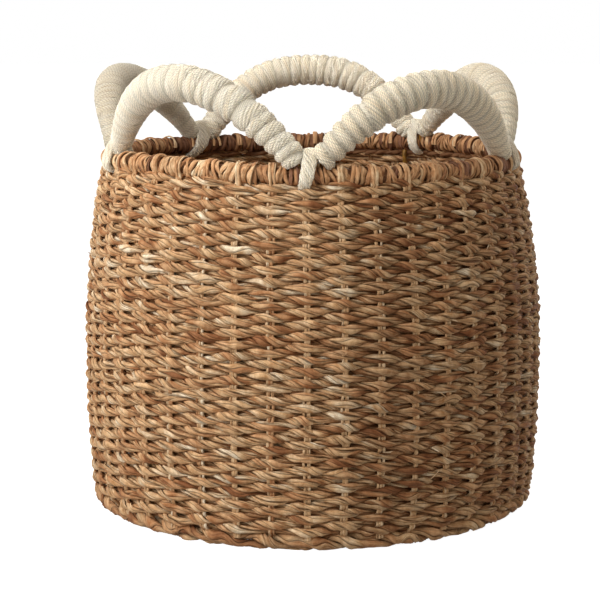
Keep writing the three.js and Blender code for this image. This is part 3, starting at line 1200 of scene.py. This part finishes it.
@dataclass
class WovenBase(SubAssembly):
    """Rings of twisted leaf woven over spokes."""

    row_pitch: float = 5.6 * MM
    inner_stakes: int = 14
    outer_stakes: int = 42
    change: float = 92 * MM
    lay: float = 42 * MM
    depth: float = 1.6 * MM
    ply_across: float = 2.2 * MM
    ply_wide: float = 4.9 * MM
    spoke_radius: float = 2.2 * MM
    overlap: float = 3 * MM
    smallest: float = 2.5 * MM
    spacing: float = 4 * MM
    eye: float = 2 * MM

    def build(self) -> None:
        """Makes the rings and the spokes."""
        low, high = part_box("woven_base")
        level, outside = (low.z + high.z) / 2, -low.y
        rng = np.random.default_rng(43)
        mesh = StrandMesh("base_rings", Slot.LEAF, 410, ("woven_base",))
        corner = round_angles(8)
        for number, ring in enumerate(np.arange(outside + self.overlap, self.smallest, -self.row_pitch)):
            stakes = self.outer_stakes if ring > self.change else self.inner_stakes
            places = int(TURN * ring / self.spacing) // stakes * stakes
            angle = round_angles(max(stakes * 4, places))
            over = np.cos(stakes / 2 * angle + math.pi * number)
            squeeze = 0.6 + 0.4 * np.abs(over) ** 0.8
            turns = max(2, round(TURN * ring / self.lay))
            for ply in range(2):
                noise = ring_noise(rng, angle, 4, 1, 12)
                lay = (-turns * angle + math.pi * ply + 0.3 * noise[0])[:, None]
                aside = 0.84 * np.sin(corner) * (1 + 0.06 * noise[1][:, None])
                up, out = laid(lay, 0.47 + 0.52 * np.cos(corner), aside)
                radius = ring + min(self.ply_wide, 1.2 * ring) * squeeze[:, None] * out
                rise = level + self.depth * over[:, None] + self.ply_across * up
                hue = 0.44 + 0.15 * rng.normal() + 0.08 * noise[2]
                tone = toned(hue, 0.5 + 0.08 * noise[3], 0.0)
                mesh.add(on_ring(radius, angle[:, None], rise)[None, :, ::-1], tone[None], True)
        outer = round_angles(self.outer_stakes), np.linspace(self.change * 0.6, outside, 24)
        inner = round_angles(self.inner_stakes), np.linspace(self.eye, self.change, 16)
        for angle, path in (outer, inner):
            spokes = sweep(on_ring(path, angle[:, None], level), UP, round_section(self.spoke_radius, 6, 0.6))
            mesh.add(spokes, stake_tones(rng, angle.size, path.size))
        mesh.build(self.finishes)


# Rim


@dataclass
class RimBinding(SubAssembly):
    """Narrow leaf strips wound closely round the rim hoop."""

    wraps: int = 350
    width: float = 4.3 * MM
    thickness: float = 2.0 * MM
    steps: int = 24
    tilt: float = 2.3 * MM
    wave: float = 0.45 * MM
    sunk: float = 0.9 * MM
    lifted: Pair = (0.50 * MM, 0.30 * MM)
    # Painted shade along the edges of each wrap.
    edge_shade: float = 0.62
    # Painted light and shade round the rim: darker at the back and the right front, lighter at the left
    # front.
    painted_shading_swells: Swells = (Swell(-140, 28, 0.32), Swell(172, 36, 0.30), Swell(50, 26, 0.19), Swell(-45, 20, -0.13))
    plum_share: float = 0.07
    plum: float = 0.34
    core_inset: float = 2.0 * MM
    filler_strands: int = 3
    filler_turns: int = 34
    filler_away: float = 1.0 * MM
    filler_below: float = 2.4 * MM
    filler_lay: Pair = (1.8 * MM, 1.0 * MM)
    filler_uneven: Pair = (0.6 * MM, 0.5 * MM)
    filler_section: Pair = (1.7 * MM, 2.3 * MM)

    def build(self) -> None:
        """Makes the wraps, the dark roll under them and the filler, both dark as painted shade where they
        show.
        """
        form, count = self.form, self.wraps
        rng = np.random.default_rng(31)
        turn, corner = round_angles(self.steps), round_angles(8)

        def wavy(high: int) -> Array:
            """Noise along each wrap, with up to so many waves."""
            return ring_noise(rng, turn, count, 1, high)

        middle = round_angles(count)[:, None] + rng.normal(0, 0.10, (count, 1)) * TURN / count
        tilt = self.tilt * (0.8 * self.alike(rng.normal(size=count // 4 + 1), 4) + 0.7 * each(rng, count))
        wave = self.wave * wavy(4)
        along = tilt * np.sin(turn + rng.normal(0, 0.4, (count, 1))) + wave
        width = self.width / 2 * (1 + 0.16 * wavy(4) + 0.12 * each(rng, count))
        thick = self.thickness * (1 + 0.28 * each(rng, count))
        lift = form.binding_radius - self.sunk + self.lifted[0] * each(rng, count) + self.lifted[1] * wavy(5)
        crown = 1 + 0.22 * np.cos(2 * corner + rng.uniform(0, TURN, (count, 1, 1)))
        across = width[..., None] * np.sin(corner) * crown
        over = lift[..., None] + 0.5 * thick[..., None] * np.cos(corner) * crown
        over = over + (rng.normal(0, 0.24, (count, 1, 1)) + 0.12 * wavy(4)[..., None]) * across
        place = middle[..., None] + (along[..., None] + across) / form.rim_radius
        out = form.rim_radius + over * np.cos(turn)[:, None]
        points = on_ring(out, place, form.rim_height + over * np.sin(turn)[:, None])
        hue = 0.50 + 0.14 * self.alike(rng.normal(size=count // 5 + 1), 5)
        hue = hue + 0.13 * each(rng, count) + 0.06 * wavy(5)
        light = 0.60 + 0.17 * each(rng, count) + 0.06 * wavy(5)
        # Painted light and shade by angle, in hue and light.
        painted_shading = swelled(self.painted_shading_swells, middle)
        plum = self.plum * (self.alike(rng.uniform(size=count // 6 + 1), 6) > 1 - self.plum_share)
        # Painted shade on the wraps' two edges.
        edge = self.edge_shade * (np.abs(np.sin(corner)) > 0.9)
        tone = toned((hue - painted_shading - plum)[..., None], (light - 1.2 * painted_shading)[..., None], edge, (0.09, 0.99))
        mesh = StrandMesh("rim_wraps", Slot.BOUND, 300, ("rim_binding",))
        mesh.add(points[:, :, ::-1], tone[:, :, ::-1], True)
        ring, roll = round_angles(180)[:, None], round_angles(12)
        inner = form.binding_radius - self.core_inset
        out, rise = form.rim_radius + inner * np.cos(roll), form.rim_height + inner * np.sin(roll)
        # Dark core roll: painted shade seen between the wraps.
        mesh.add(on_ring(out, ring, rise)[None], (0.2, 0.2, 0.7), True)
        # Dark filler: painted shade in the slit under the binding.
        mesh.add(self.filler(rng), (0.2, 0.2, 0.45), True)
        mesh.build(self.finishes)

    def alike(self, values: Array, run: int) -> Array:
        """A column with one value for each wrap, the same for a run of wraps."""
        return np.repeat(values, run)[: self.wraps, None]

    def filler(self, rng: Chance) -> Array:
        """Twists thin strands that close the slit between the top row and the binding.

        Args:
            rng: Seeded source of chance.

        Returns:
            Points by strand, place, corner and x y z.
        """
        form = self.form
        ring, corner = round_angles(720)[:, None], round_angles(6)
        under = form.rim_height - form.binding_radius - self.filler_below
        lay, uneven, section = self.filler_lay, self.filler_uneven, self.filler_section
        points = []
        for strand in range(self.filler_strands):
            away, sag = ring_noise(rng, ring[:, 0], 2, 8, 60)[..., None]
            turn = (self.filler_turns + 3 * strand) * ring + TURN * strand / self.filler_strands
            out = form.rim_radius + self.filler_away + lay[0] * np.cos(turn) + uneven[0] * away
            rise = under + lay[1] * np.sin(turn) - uneven[1] * np.abs(sag)
            out, rise = out + section[0] * np.cos(corner), rise + section[1] * np.sin(corner)
            points.append(on_ring(out, ring, rise))
        return np.stack(points)


@dataclass
class WireFrame(SubAssembly):
    """Lacquered wire: the hoops stay as packed, and smooth uprights replace the faceted ones."""

    nodes: dict[str, bpy.types.Object]
    upright_offset: float = math.radians(4.5)
    upright_radius: float = 2.4 * MM
    upright_inset: float = 14.4 * MM
    gap: float = 0.3 * MM
    bend: float = 14 * MM
    under_hoop: float = 2.8 * MM

    def build(self) -> None:
        """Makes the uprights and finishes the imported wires."""
        form = self.form
        low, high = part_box("frame_foot_hoop")
        angle = (round_angles(form.handles) + self.upright_offset)[:, None]
        height = np.linspace(high.z + self.gap, form.wall_top, 40)
        start = -low.y - form.hoop_wire / 2
        blend = np.clip((height - height[0]) / self.bend, 0, 1)
        radius = start + (form.wall_radius(height) - self.upright_inset - start) * blend
        height = np.append(height, form.rim_height - self.under_hoop)
        radius = np.append(radius, form.rim_radius)
        section = round_section(self.upright_radius, 12)
        tube = sweep(on_ring(radius, angle, height), on_ring(1.0, angle, 0.0), section)
        hidden = tuple(f"frame_upright_{i + 1}" for i in range(form.handles))
        mesh = StrandMesh("uprights", Slot.WIRE, 500, hidden)
        mesh.add(tube, (0.5, 0.5, 0.0))
        mesh.build(self.finishes)
        for name, node in self.nodes.items():
            if name.startswith("frame_"):
                node.data.materials.clear()
                node.data.materials.append(self.finishes[Slot.WIRE])


# Handles


@dataclass(frozen=True)
class WrapLook:
    """How one handle stands and was wound: 0 is flat threads side by side, 1 is full rope turns."""

    start: float
    middle: float
    end: float
    pitch: Pair
    crown: float
    tips: Pair = (10.5 * MM, 10.5 * MM)
    fullness: float = 2.15
    inset: float = 0.0
    lean: float = 0.0
    slide: float = 0.0
    skew: float = 0.0
    extra_rise: float = 0.0
    span: float = 1.0
    tilt: float = 0.0
    parted: Pair = (0.3, 0.3)
    # The next three: how much painted shade dims the start, middle and end of a handle, with painted light
    # where negative; how far the hue moves to the deeper cream, for the warmer colour of a shaded handle; and
    # how strong the painted shade of grooves, partings and flanks is.
    painted_dimming: tuple[float, float, float] = (0.0, 0.0, 0.0)
    warm: float = 0.0
    drawn: float = 1.0


@dataclass
class CordHandle(SubAssembly):
    """One arch wound with cotton cord."""

    number: int
    look: WrapLook
    rise: float = 67 * MM
    foot_rise: float = 7.73 * MM
    foot_along: float = 104.9 * MM
    past_foot: float = 1.07
    dome: float = 4.8 * MM
    cord: float = 6.2 * MM
    wire: float = 5 * MM
    usual_pitch: float = 9.2 * MM
    usual_radius: float = 12.5 * MM
    yarns: int = 11
    yarn_lay: float = 30 * MM
    # Painted shade: on each yarn's flanks, in the grooves between turns with painted light on the raised
    # yarns, and in the partings.
    flank_shade: float = 0.42
    groove_shade: float = 0.14
    parting: float = 1.5 * MM
    parting_shade: float = 0.45
    flat_twist: float = 0.12
    flat_lift: float = 1.2 * MM
    rope_lift: float = 1.9 * MM
    yarn_drift: Pair = (0.20 * MM, 0.12 * MM)
    thinnest: float = 0.2 * MM
    step: float = 2.4 * MM
    distance: Array = field(init=False)
    points: Array = field(init=False)
    outward: Array = field(init=False)
    along: Array = field(init=False)
    cord_along: Array = field(init=False)
    cord_away: Array = field(init=False)
    reach: Array = field(init=False)

    def __post_init__(self) -> None:
        """Shapes the arch, and the path of the cord from one tip to the other."""
        self.distance, self.points, self.outward, self.along = self.arch()
        self.cord_along, self.cord_away = self.meridian(self.distance[-1])
        steps = np.hypot(np.diff(self.cord_along), np.diff(self.cord_away))
        self.reach = np.concatenate([[0], np.cumsum(steps)])

    def arch(self) -> tuple[Array, Array, Array, Array]:
        """Shapes the arch's centre line, by distance along it.

        Returns:
            Distances, points, directions to the outside of the basket, and directions along.
        """
        form, look = self.form, self.look
        share = np.linspace(-self.past_foot, self.past_foot, 241)
        rise = self.rise + look.extra_rise
        height = form.rim_top + rise - (rise - self.foot_rise) * np.abs(share) ** look.fullness
        height = height + look.tilt * share
        crowning = np.clip(1 - share**2, 0, 1)
        out = form.rim_radius - look.inset + look.lean * crowning**2
        middle = (self.number - 0.5) * TURN / form.handles + look.slide / form.rim_radius
        angle = middle + (share + look.skew * crowning) * look.span * self.foot_along / form.rim_radius
        points = on_ring(out, angle, height)
        step = np.linalg.norm(np.diff(points, axis=0), axis=1)
        along = unit(np.gradient(points, axis=0))
        outward = on_ring(1.0, angle, 0.0)
        outward = unit(outward - (outward * along).sum(axis=1, keepdims=True) * along)
        return np.concatenate([[0], np.cumsum(step)]), points, outward, along

    def meridian(self, total: float) -> tuple[Array, Array]:
        """Shapes the path of the cord's middle from one tip to the other, if it weren't wound.

        Args:
            total: Length of the arch.

        Returns:
            Distance along the arch, and distance from its centre line.
        """
        half = self.cord / 2
        inside = np.linspace(self.dome, total - self.dome, 161)
        share = 2 * inside / total - 1
        slim = 1 - (1 - share**4) ** 3
        tip = np.where(share < 0, *self.look.tips)
        body = self.look.crown + (tip - self.look.crown) * slim - half
        quarter = np.linspace(0.05, 1, 10)[:-1] * math.pi / 2
        rise = body[0] * np.sin(quarter)
        lead = half + (self.dome - half) * (1 - np.cos(quarter))
        return np.concatenate([lead, inside, (total - lead)[::-1]]), np.concatenate([rise, body, rise[::-1]])

    def followed(self, table: Array, at: Array) -> Array:
        """Points or directions, out of one row for each distance, at distances along the arch."""
        return np.stack([np.interp(at, self.distance, table[:, i]) for i in range(3)], axis=-1)

    def on_meridian(self, where: Array, values: Array) -> Array:
        """Values of the cord's path, at distances along that path."""
        return np.interp(where, self.reach, values)

    def lay_yarns(self, rng: Chance) -> tuple[Array, ...]:
        """Lays the cord's yarns round the arch.

        Args:
            rng: Seeded source of chance.

        Returns:
            Yarn centres, directions away from the arch, yarn radii, and the painted light and shade of the
            turns.
        """
        look, reach, usual, yarns = self.look, self.reach, self.usual_pitch, self.yarns
        grid = np.linspace(0, reach[-1], 400)
        pitch = np.interp(grid, [0, reach[-1]], look.pitch)
        turned = np.concatenate([[0], np.cumsum(np.diff(grid) / pitch[1:])])
        places = int(turned[-1] * TURN * self.usual_radius / self.step)
        way = np.linspace(0, 1, places)
        spin = way * turned[-1] * TURN
        at = np.interp(way * turned[-1], turned, grid)
        bulk = np.interp(at, grid, pitch) / usual
        uneven = 0.13 * path_noise(rng, places, 1, int(turned[-1]))[0]
        swing = 0.10 * np.sin(spin + rng.uniform(0, TURN))
        at = np.clip(at + (uneven + swing) * bulk * usual, 0, reach[-1])
        width = np.interp(spin + math.pi, spin, at) - np.interp(spin - math.pi, spin, at)
        width = np.clip(width / usual, 0.6 * bulk, 1.4 * bulk) * usual
        rope = np.interp(way, [0, 0.5, 1], [look.start, look.middle, look.end])
        rope = np.clip(rope + 0.10 * path_noise(rng, places, 1, 9)[0], 0, 1)
        wound = np.cumsum(self.flat_twist + (1 - self.flat_twist) * rope) * self.step * TURN / self.yarn_lay
        turn = round_angles(yarns)[:, None] + wound
        zigzag = np.arcsin(np.cos(turn)) * 2 / math.pi
        ledge = np.clip(5 * np.sin(turn), -1, 1)
        parting = np.interp(way, [0, 1], look.parted) * np.abs(np.cos(turn)) ** 5
        aside = width * (0.50 * zigzag * (1 - rope) + 0.40 * np.cos(turn) * rope)
        lift = self.flat_lift * ledge * (1 - rope) + self.rope_lift * bulk * np.sin(turn) * rope
        lift = lift - self.parting * parting
        # Painted light on the raised yarns and painted shade in the grooves and partings.
        painted_shading = self.groove_shade * (ledge * (1 - rope) + np.sin(turn) * rope) - self.parting_shade * parting
        aside = aside + self.yarn_drift[0] * path_noise(rng, places, yarns, places // 5)
        lift = lift + self.yarn_drift[1] * path_noise(rng, places, yarns, places // 4)
        thick = (1.14 + 0.12 * rope) * (0.3 + 0.7 * bulk)
        thick = thick * (1 + 0.08 * path_noise(rng, places, yarns, places // 5)) * MM
        where = np.clip(at + aside, 0, reach[-1])
        forth = self.on_meridian(where, np.gradient(self.cord_along, reach))
        climb = self.on_meridian(where, np.gradient(self.cord_away, reach))
        place = self.on_meridian(where, self.cord_along) - lift * climb
        away = self.on_meridian(where, self.cord_away) + lift * forth
        side, ahead = self.followed(self.outward, place), self.followed(self.along, place)
        spoke = np.cos(spin)[:, None] * side + np.sin(spin)[:, None] * np.cross(side, ahead)
        return self.followed(self.points, place) + away[..., None] * spoke, spoke, thick, painted_shading

    def build(self) -> None:
        """Makes the yarns and the plain sleeve behind them."""
        number, look, yarns = self.number, self.look, self.yarns
        rng = np.random.default_rng(600 + number)
        centre, spoke, thick, painted_shading = self.lay_yarns(rng)
        places = thick.shape[1]
        hue = 0.5 + 0.14 * each(rng, yarns) + 0.16 * path_noise(rng, places, yarns, 60) - look.warm
        # Painted shade that dims stretches of a handle standing in shade, painted light where negative, then
        # the painted shade of grooves and flanks.
        painted_dimming = np.interp(np.linspace(0, 1, places), [0, 0.5, 1], look.painted_dimming)
        light = 0.66 - 0.9 * painted_dimming + 0.06 * path_noise(rng, places, yarns, 200) + look.drawn * painted_shading
        # Painted shade on each yarn's flanks, scaled by drawn.
        light = light[..., None] - look.drawn * self.flank_shade * (1 - np.cos(round_angles(5)))
        wear_and_shade = np.clip(path_noise(rng, places, yarns, places // 4) - 2.7, 0, 1) * 0.7
        tone = toned(hue[..., None], light, wear_and_shade[..., None], (0, 1), 0)
        hidden = (f"handle_wrap_{number}", f"handle_padding_{number}")
        mesh = StrandMesh(f"handle_cord_{number}", Slot.COTTON, 600 + number, hidden)
        mesh.add(sweep(centre, spoke, round_section(thick, 5)), tone)
        mesh.add(self.sleeve(), (0.6, 0.5, 0.0))
        mesh.build(self.finishes)

    def sleeve(self) -> Array:
        """Sweeps the plain layer of cord under the outer turns.

        Returns:
            Points of its surface.
        """
        where = np.linspace(0, self.reach[-1], 90)
        place = self.on_meridian(where, self.cord_along)
        radius = np.maximum(self.on_meridian(where, self.cord_away), self.thinnest)
        centre, side = self.followed(self.points, place), self.followed(self.outward, place)
        return sweep(centre[None], side[None], round_section(radius, 20))

    def wire_inside(self) -> Array:
        """Sweeps the wire from the rim hoop up through the cord and down again.

        Returns:
            Points of its surface.
        """
        ends = self.points[[0, -1]].copy()
        ends[:, 2] = self.form.rim_height
        centre = np.concatenate([ends[:1], self.points, ends[1:]])
        side = np.concatenate([self.outward[:1], self.outward, self.outward[-1:]])
        return sweep(centre[None], side[None], round_section(self.wire / 2, 12))


@dataclass
class HandleWires(SubAssembly):
    """Smooth wires that the cord is wound on."""

    handles: list[CordHandle]

    def build(self) -> None:
        """Makes the wires."""
        hidden = tuple(f"handle_core_{handle.number}" for handle in self.handles)
        mesh = StrandMesh("handle_wires", Slot.WIRE, 510, hidden)
        for handle in self.handles:
            mesh.add(handle.wire_inside(), (0.5, 0.5, 0.0))
        mesh.build(self.finishes)


@dataclass
class Lashing(SubAssembly):
    """Flat cotton cord round the rim between two handles' feet, and how it was tied."""

    number: int
    width: float = 12.5 * MM
    slant: float = 3.0 * MM
    shift: float = 0.0
    thickness: float = 4.6 * MM
    droop: float = 1.0
    # Darkens the whole cord towards the soiled cotton colour: painted shade for lashings that stand in shade.
    wear_and_shade: float = 0.0
    knot_rise: float = 13 * MM
    taper: float = 0.16
    yarns: int = 11
    yarn_radius: float = 1.15 * MM
    yarn_drift: float = 0.2 * MM
    gap: float = 0.2 * MM
    lay: float = 26 * MM
    flank_shade: float = 0.4
    steps: int = 64

    def build(self) -> None:
        """Makes the cord."""
        form, number, yarns, thick = self.form, self.number, self.yarns, self.thickness
        rng = np.random.default_rng(700 + number)
        turn = round_angles(self.steps)
        over = np.sin(turn).clip(0)
        clear = form.binding_radius + 0.5 * thick + self.gap
        out = clear * np.cos(turn) * (1 - 0.25 * over**2)
        rise = clear * np.sin(turn)
        rise = rise * np.where(rise > 0, 1, self.droop) + (self.knot_rise - 0.5 * thick) * over**1.5
        strand = round_angles(yarns)[:, None] + np.round(TURN * clear / self.lay) * turn
        spread = (self.width / 2 - self.yarn_radius) * (1 + self.taper * (np.sin(turn) - 0.4))
        aside = spread * np.cos(strand) + self.yarn_drift * ring_noise(rng, turn, yarns, 2, 8)
        lift = 0.32 * thick * np.sin(strand)
        middle = (number - 1) * TURN / form.handles
        angle = middle + (aside + self.slant * np.sin(turn) + self.shift) / form.rim_radius
        radial, up = np.cos(turn) * lift + out, np.sin(turn) * lift + rise
        centre = on_ring(form.rim_radius + radial, angle, form.rim_height + up)
        outward = centre - on_ring(form.rim_radius, angle, form.rim_height)
        lines = [np.concatenate([line[:, -1:], line, line[:, :1]], axis=1) for line in (centre, outward)]
        tube = sweep(*lines, round_section(self.yarn_radius, 6))[:, 1:-1]
        hue = 0.5 + 0.2 * each(rng, yarns) + 0.1 * ring_noise(rng, turn, yarns, 2, 12)
        light = 0.95 + 0.05 * ring_noise(rng, turn, yarns, 2, 20)
        # Painted shade on each yarn's flanks.
        light = light[..., None] - self.flank_shade * (1 - np.cos(round_angles(6)))
        mesh = StrandMesh(f"lashing_cord_{number}", Slot.COTTON, 700 + number, (f"lashing_{number}",))
        mesh.add(tube, toned(hue[..., None], light, self.wear_and_shade, (0, 1), 0), True)
        mesh.build(self.finishes)


# Studio


@dataclass(frozen=True)
class Lamp:
    """One soft lamp, its azimuth and elevation in degrees."""

    name: str
    azimuth: float
    elevation: float
    distance: float
    size: float
    power: float


@dataclass(frozen=True)
class Studio:
    """Pale floor, soft light and the camera."""

    away: float = 1.7088
    height: float = 0.4723
    pitch: float = math.radians(80.518)
    lens: float = 107.05
    shift: float = -0.018333333
    aim: tuple[float, float, float] = (0, 0, 0.2)
    floor_half: float = 12.0
    floor_glow: float = 0.96
    sky: tuple[float, ...] = (1.0, 0.90, 0.75, 1)
    sky_strength: float = 0.32
    lamps: tuple[Lamp, ...] = (
        Lamp("key", azimuth=-58, elevation=35, distance=1.35, size=1.2, power=16.8),
        Lamp("top", azimuth=-10, elevation=74, distance=2.0, size=1.4, power=6.8),
        Lamp("fill", azimuth=5, elevation=46, distance=2.0, size=0.6, power=2.5),
        Lamp("back", azimuth=128, elevation=38, distance=2.0, size=1.4, power=8.5),
    )

    def build(self) -> None:
        """Makes the whole studio."""
        self.build_camera()
        self.build_floor()
        self.build_world()
        for lamp in self.lamps:
            self.build_lamp(lamp)

    def build_camera(self) -> None:
        """Makes the camera."""
        data = bpy.data.cameras.new("camera")
        data.lens, data.sensor_width, data.shift_x = self.lens, 36, self.shift
        camera = placed("camera", data)
        camera.location = (0, -self.away, self.height)
        camera.rotation_euler = (self.pitch, 0, 0)
        bpy.context.scene.camera = camera

    def build_lamp(self, lamp: Lamp) -> None:
        """Makes one lamp, aimed at the basket's middle.

        Args:
            lamp: Its sizes.
        """
        data = bpy.data.lights.new(lamp.name, "AREA")
        data.energy, data.size = lamp.power, lamp.size
        light = placed(lamp.name, data)
        azimuth, elevation = math.radians(lamp.azimuth), math.radians(lamp.elevation)
        level = math.cos(elevation)
        back = Vector((math.sin(azimuth) * level, -math.cos(azimuth) * level, math.sin(elevation)))
        light.location = Vector(self.aim) + back * lamp.distance
        light.rotation_mode = "QUATERNION"
        light.rotation_quaternion = (-back).to_track_quat("-Z", "Y")

    def build_floor(self) -> None:
        """Makes the floor, which shows white where the basket doesn't shade it."""
        mesh, half = bpy.data.meshes.new("floor"), self.floor_half
        corners = [(-half, -half, 0), (half, -half, 0), (half, half, 0), (-half, half, 0)]
        mesh.from_pydata(corners, [], [(0, 1, 2, 3)])
        nodes = NodeTree(bpy.data.materials.new("pale_floor"))
        glow = nodes.times(nodes.seen(), self.floor_glow)
        matt = nodes.add("BsdfDiffuse", {"Color": (0.5, 0.5, 0.5, 1)})
        shine = nodes.add("Emission", {"Color": (1, 1, 1, 1), "Strength": glow})
        both = nodes.add("AddShader", {0: matt.outputs[0], 1: shine.outputs[0]})
        nodes.add("OutputMaterial", {0: both.outputs[0]})
        mesh.materials.append(nodes.owner)
        floor = placed("floor", mesh)

    def build_world(self) -> None:
        """Makes the even light from all round, white where it is seen."""
        world = bpy.data.worlds.new("studio")
        nodes = NodeTree(world)
        sky = nodes.add("Background", {"Color": self.sky, "Strength": self.sky_strength})
        white = nodes.add("Background", {"Color": (1, 1, 1, 1), "Strength": 1.0})
        both = nodes.add("MixShader", {0: nodes.seen(), 1: sky.outputs[0], 2: white.outputs[0]})
        nodes.add("OutputWorld", {0: both.outputs[0]})
        bpy.context.scene.world = world
        bpy.context.scene.view_settings.view_transform = "Standard"


# Assembly

LOOKS = {
    1: WrapLook(
        start=0.42, middle=0.45, end=0.15, pitch=(12.0 * MM, 7.5 * MM), crown=17.2 * MM,
        tips=(12.0 * MM, 11.5 * MM), fullness=2.0, slide=-5.8 * MM, extra_rise=-2.6 * MM, span=0.957,
        tilt=-2.0 * MM, parted=(1.3, 0.4), painted_dimming=(-0.05, 0.0, -0.35), warm=0.3, drawn=2.6,
    ),
    2: WrapLook(
        start=0.45, middle=0.4, end=0.4, pitch=(7.0 * MM, 7.0 * MM), crown=17.0 * MM, inset=5.0 * MM,
        lean=-8.5 * MM, extra_rise=-6.2 * MM, parted=(0.6, 0.6), painted_dimming=(0.15, 0.15, 0.15), warm=0.15,
    ),
    3: WrapLook(
        start=0.35, middle=0.4, end=0.35, pitch=(9.6 * MM, 9.6 * MM), crown=16.7 * MM,
        tips=(12.0 * MM, 12.5 * MM), fullness=2.4, slide=3.4 * MM, span=1.025, parted=(0.6, 0.6),
        painted_dimming=(-0.12, -0.04, -0.12), warm=0.15, drawn=0.9,
    ),
    4: WrapLook(
        start=0.2, middle=0.1, end=0.2, pitch=(8.0 * MM, 7.0 * MM), crown=16.6 * MM, inset=1.5 * MM,
        lean=6.4 * MM, extra_rise=-5.0 * MM, slide=3.0 * MM, span=0.972, parted=(0.1, 0.2),
        painted_dimming=(0.45, 0.65, 0.55), warm=0.3, drawn=0.7,
    ),
    5: WrapLook(
        start=0.05, middle=0.3, end=0.5, pitch=(8.0 * MM, 12.0 * MM), crown=17.0 * MM,
        tips=(10.8 * MM, 12.5 * MM), skew=-0.055, slide=0.3 * MM, extra_rise=-2.3 * MM, span=0.965,
        tilt=2.0 * MM, parted=(0.1, 0.9), painted_dimming=(-0.25, 0.2, 0.0), warm=0.05,
    ),
}
LASHES = {
    1: {"shift": -3.5 * MM, "thickness": 5.5 * MM},
    2: {"shift": -7.0 * MM, "thickness": 5.5 * MM, "droop": 0.45, "wear_and_shade": 0.45},
    3: {"wear_and_shade": 0.12},
    4: {"width": 17.0 * MM, "thickness": 6.5 * MM, "slant": -9.0 * MM, "shift": 12.0 * MM, "wear_and_shade": 0.45},
    5: {"width": 20.0 * MM, "shift": 11.0 * MM, "thickness": 6.5 * MM, "droop": 0.7},
}


def corners(box: tuple[Vector, Vector]) -> list[list[float]]:
    """A box's lowest and highest corner as plain numbers."""
    return [list(corner) for corner in box]


def main() -> None:
    """Builds the basket's looks in order, over the frame."""
    logging.basicConfig(level=logging.INFO, format="%(message)s")
    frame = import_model()
    Studio().build()
    finishes = {
        Slot.LEAF: LeafFinish("dried_leaf", LEAF_PALETTE).material(),
        Slot.BOUND: LeafFinish("bound_leaf_strip", BOUND_PALETTE, streak=0.5).material(),
        Slot.COTTON: CottonFinish().material(),
        Slot.WIRE: WireFinish().material(),
    }
    form = BasketForm.from_frame()
    wall = WovenWall(form, finishes)
    wall.build()
    Stakes(form, finishes, wall).build()
    LooseEnds(form, finishes, wall).build()
    FootRope(form, finishes).build()
    WovenBase(form, finishes).build()
    RimBinding(form, finishes).build()
    WireFrame(form, finishes, frame["nodes"]).build()
    handles = [CordHandle(form, finishes, number, look) for number, look in LOOKS.items()]
    HandleWires(form, finishes, handles).build()
    for handle in handles:
        handle.build()
    for number, tied in LASHES.items():
        Lashing(form, finishes, number, **tied).build()


if __name__ == "__main__":
    main()
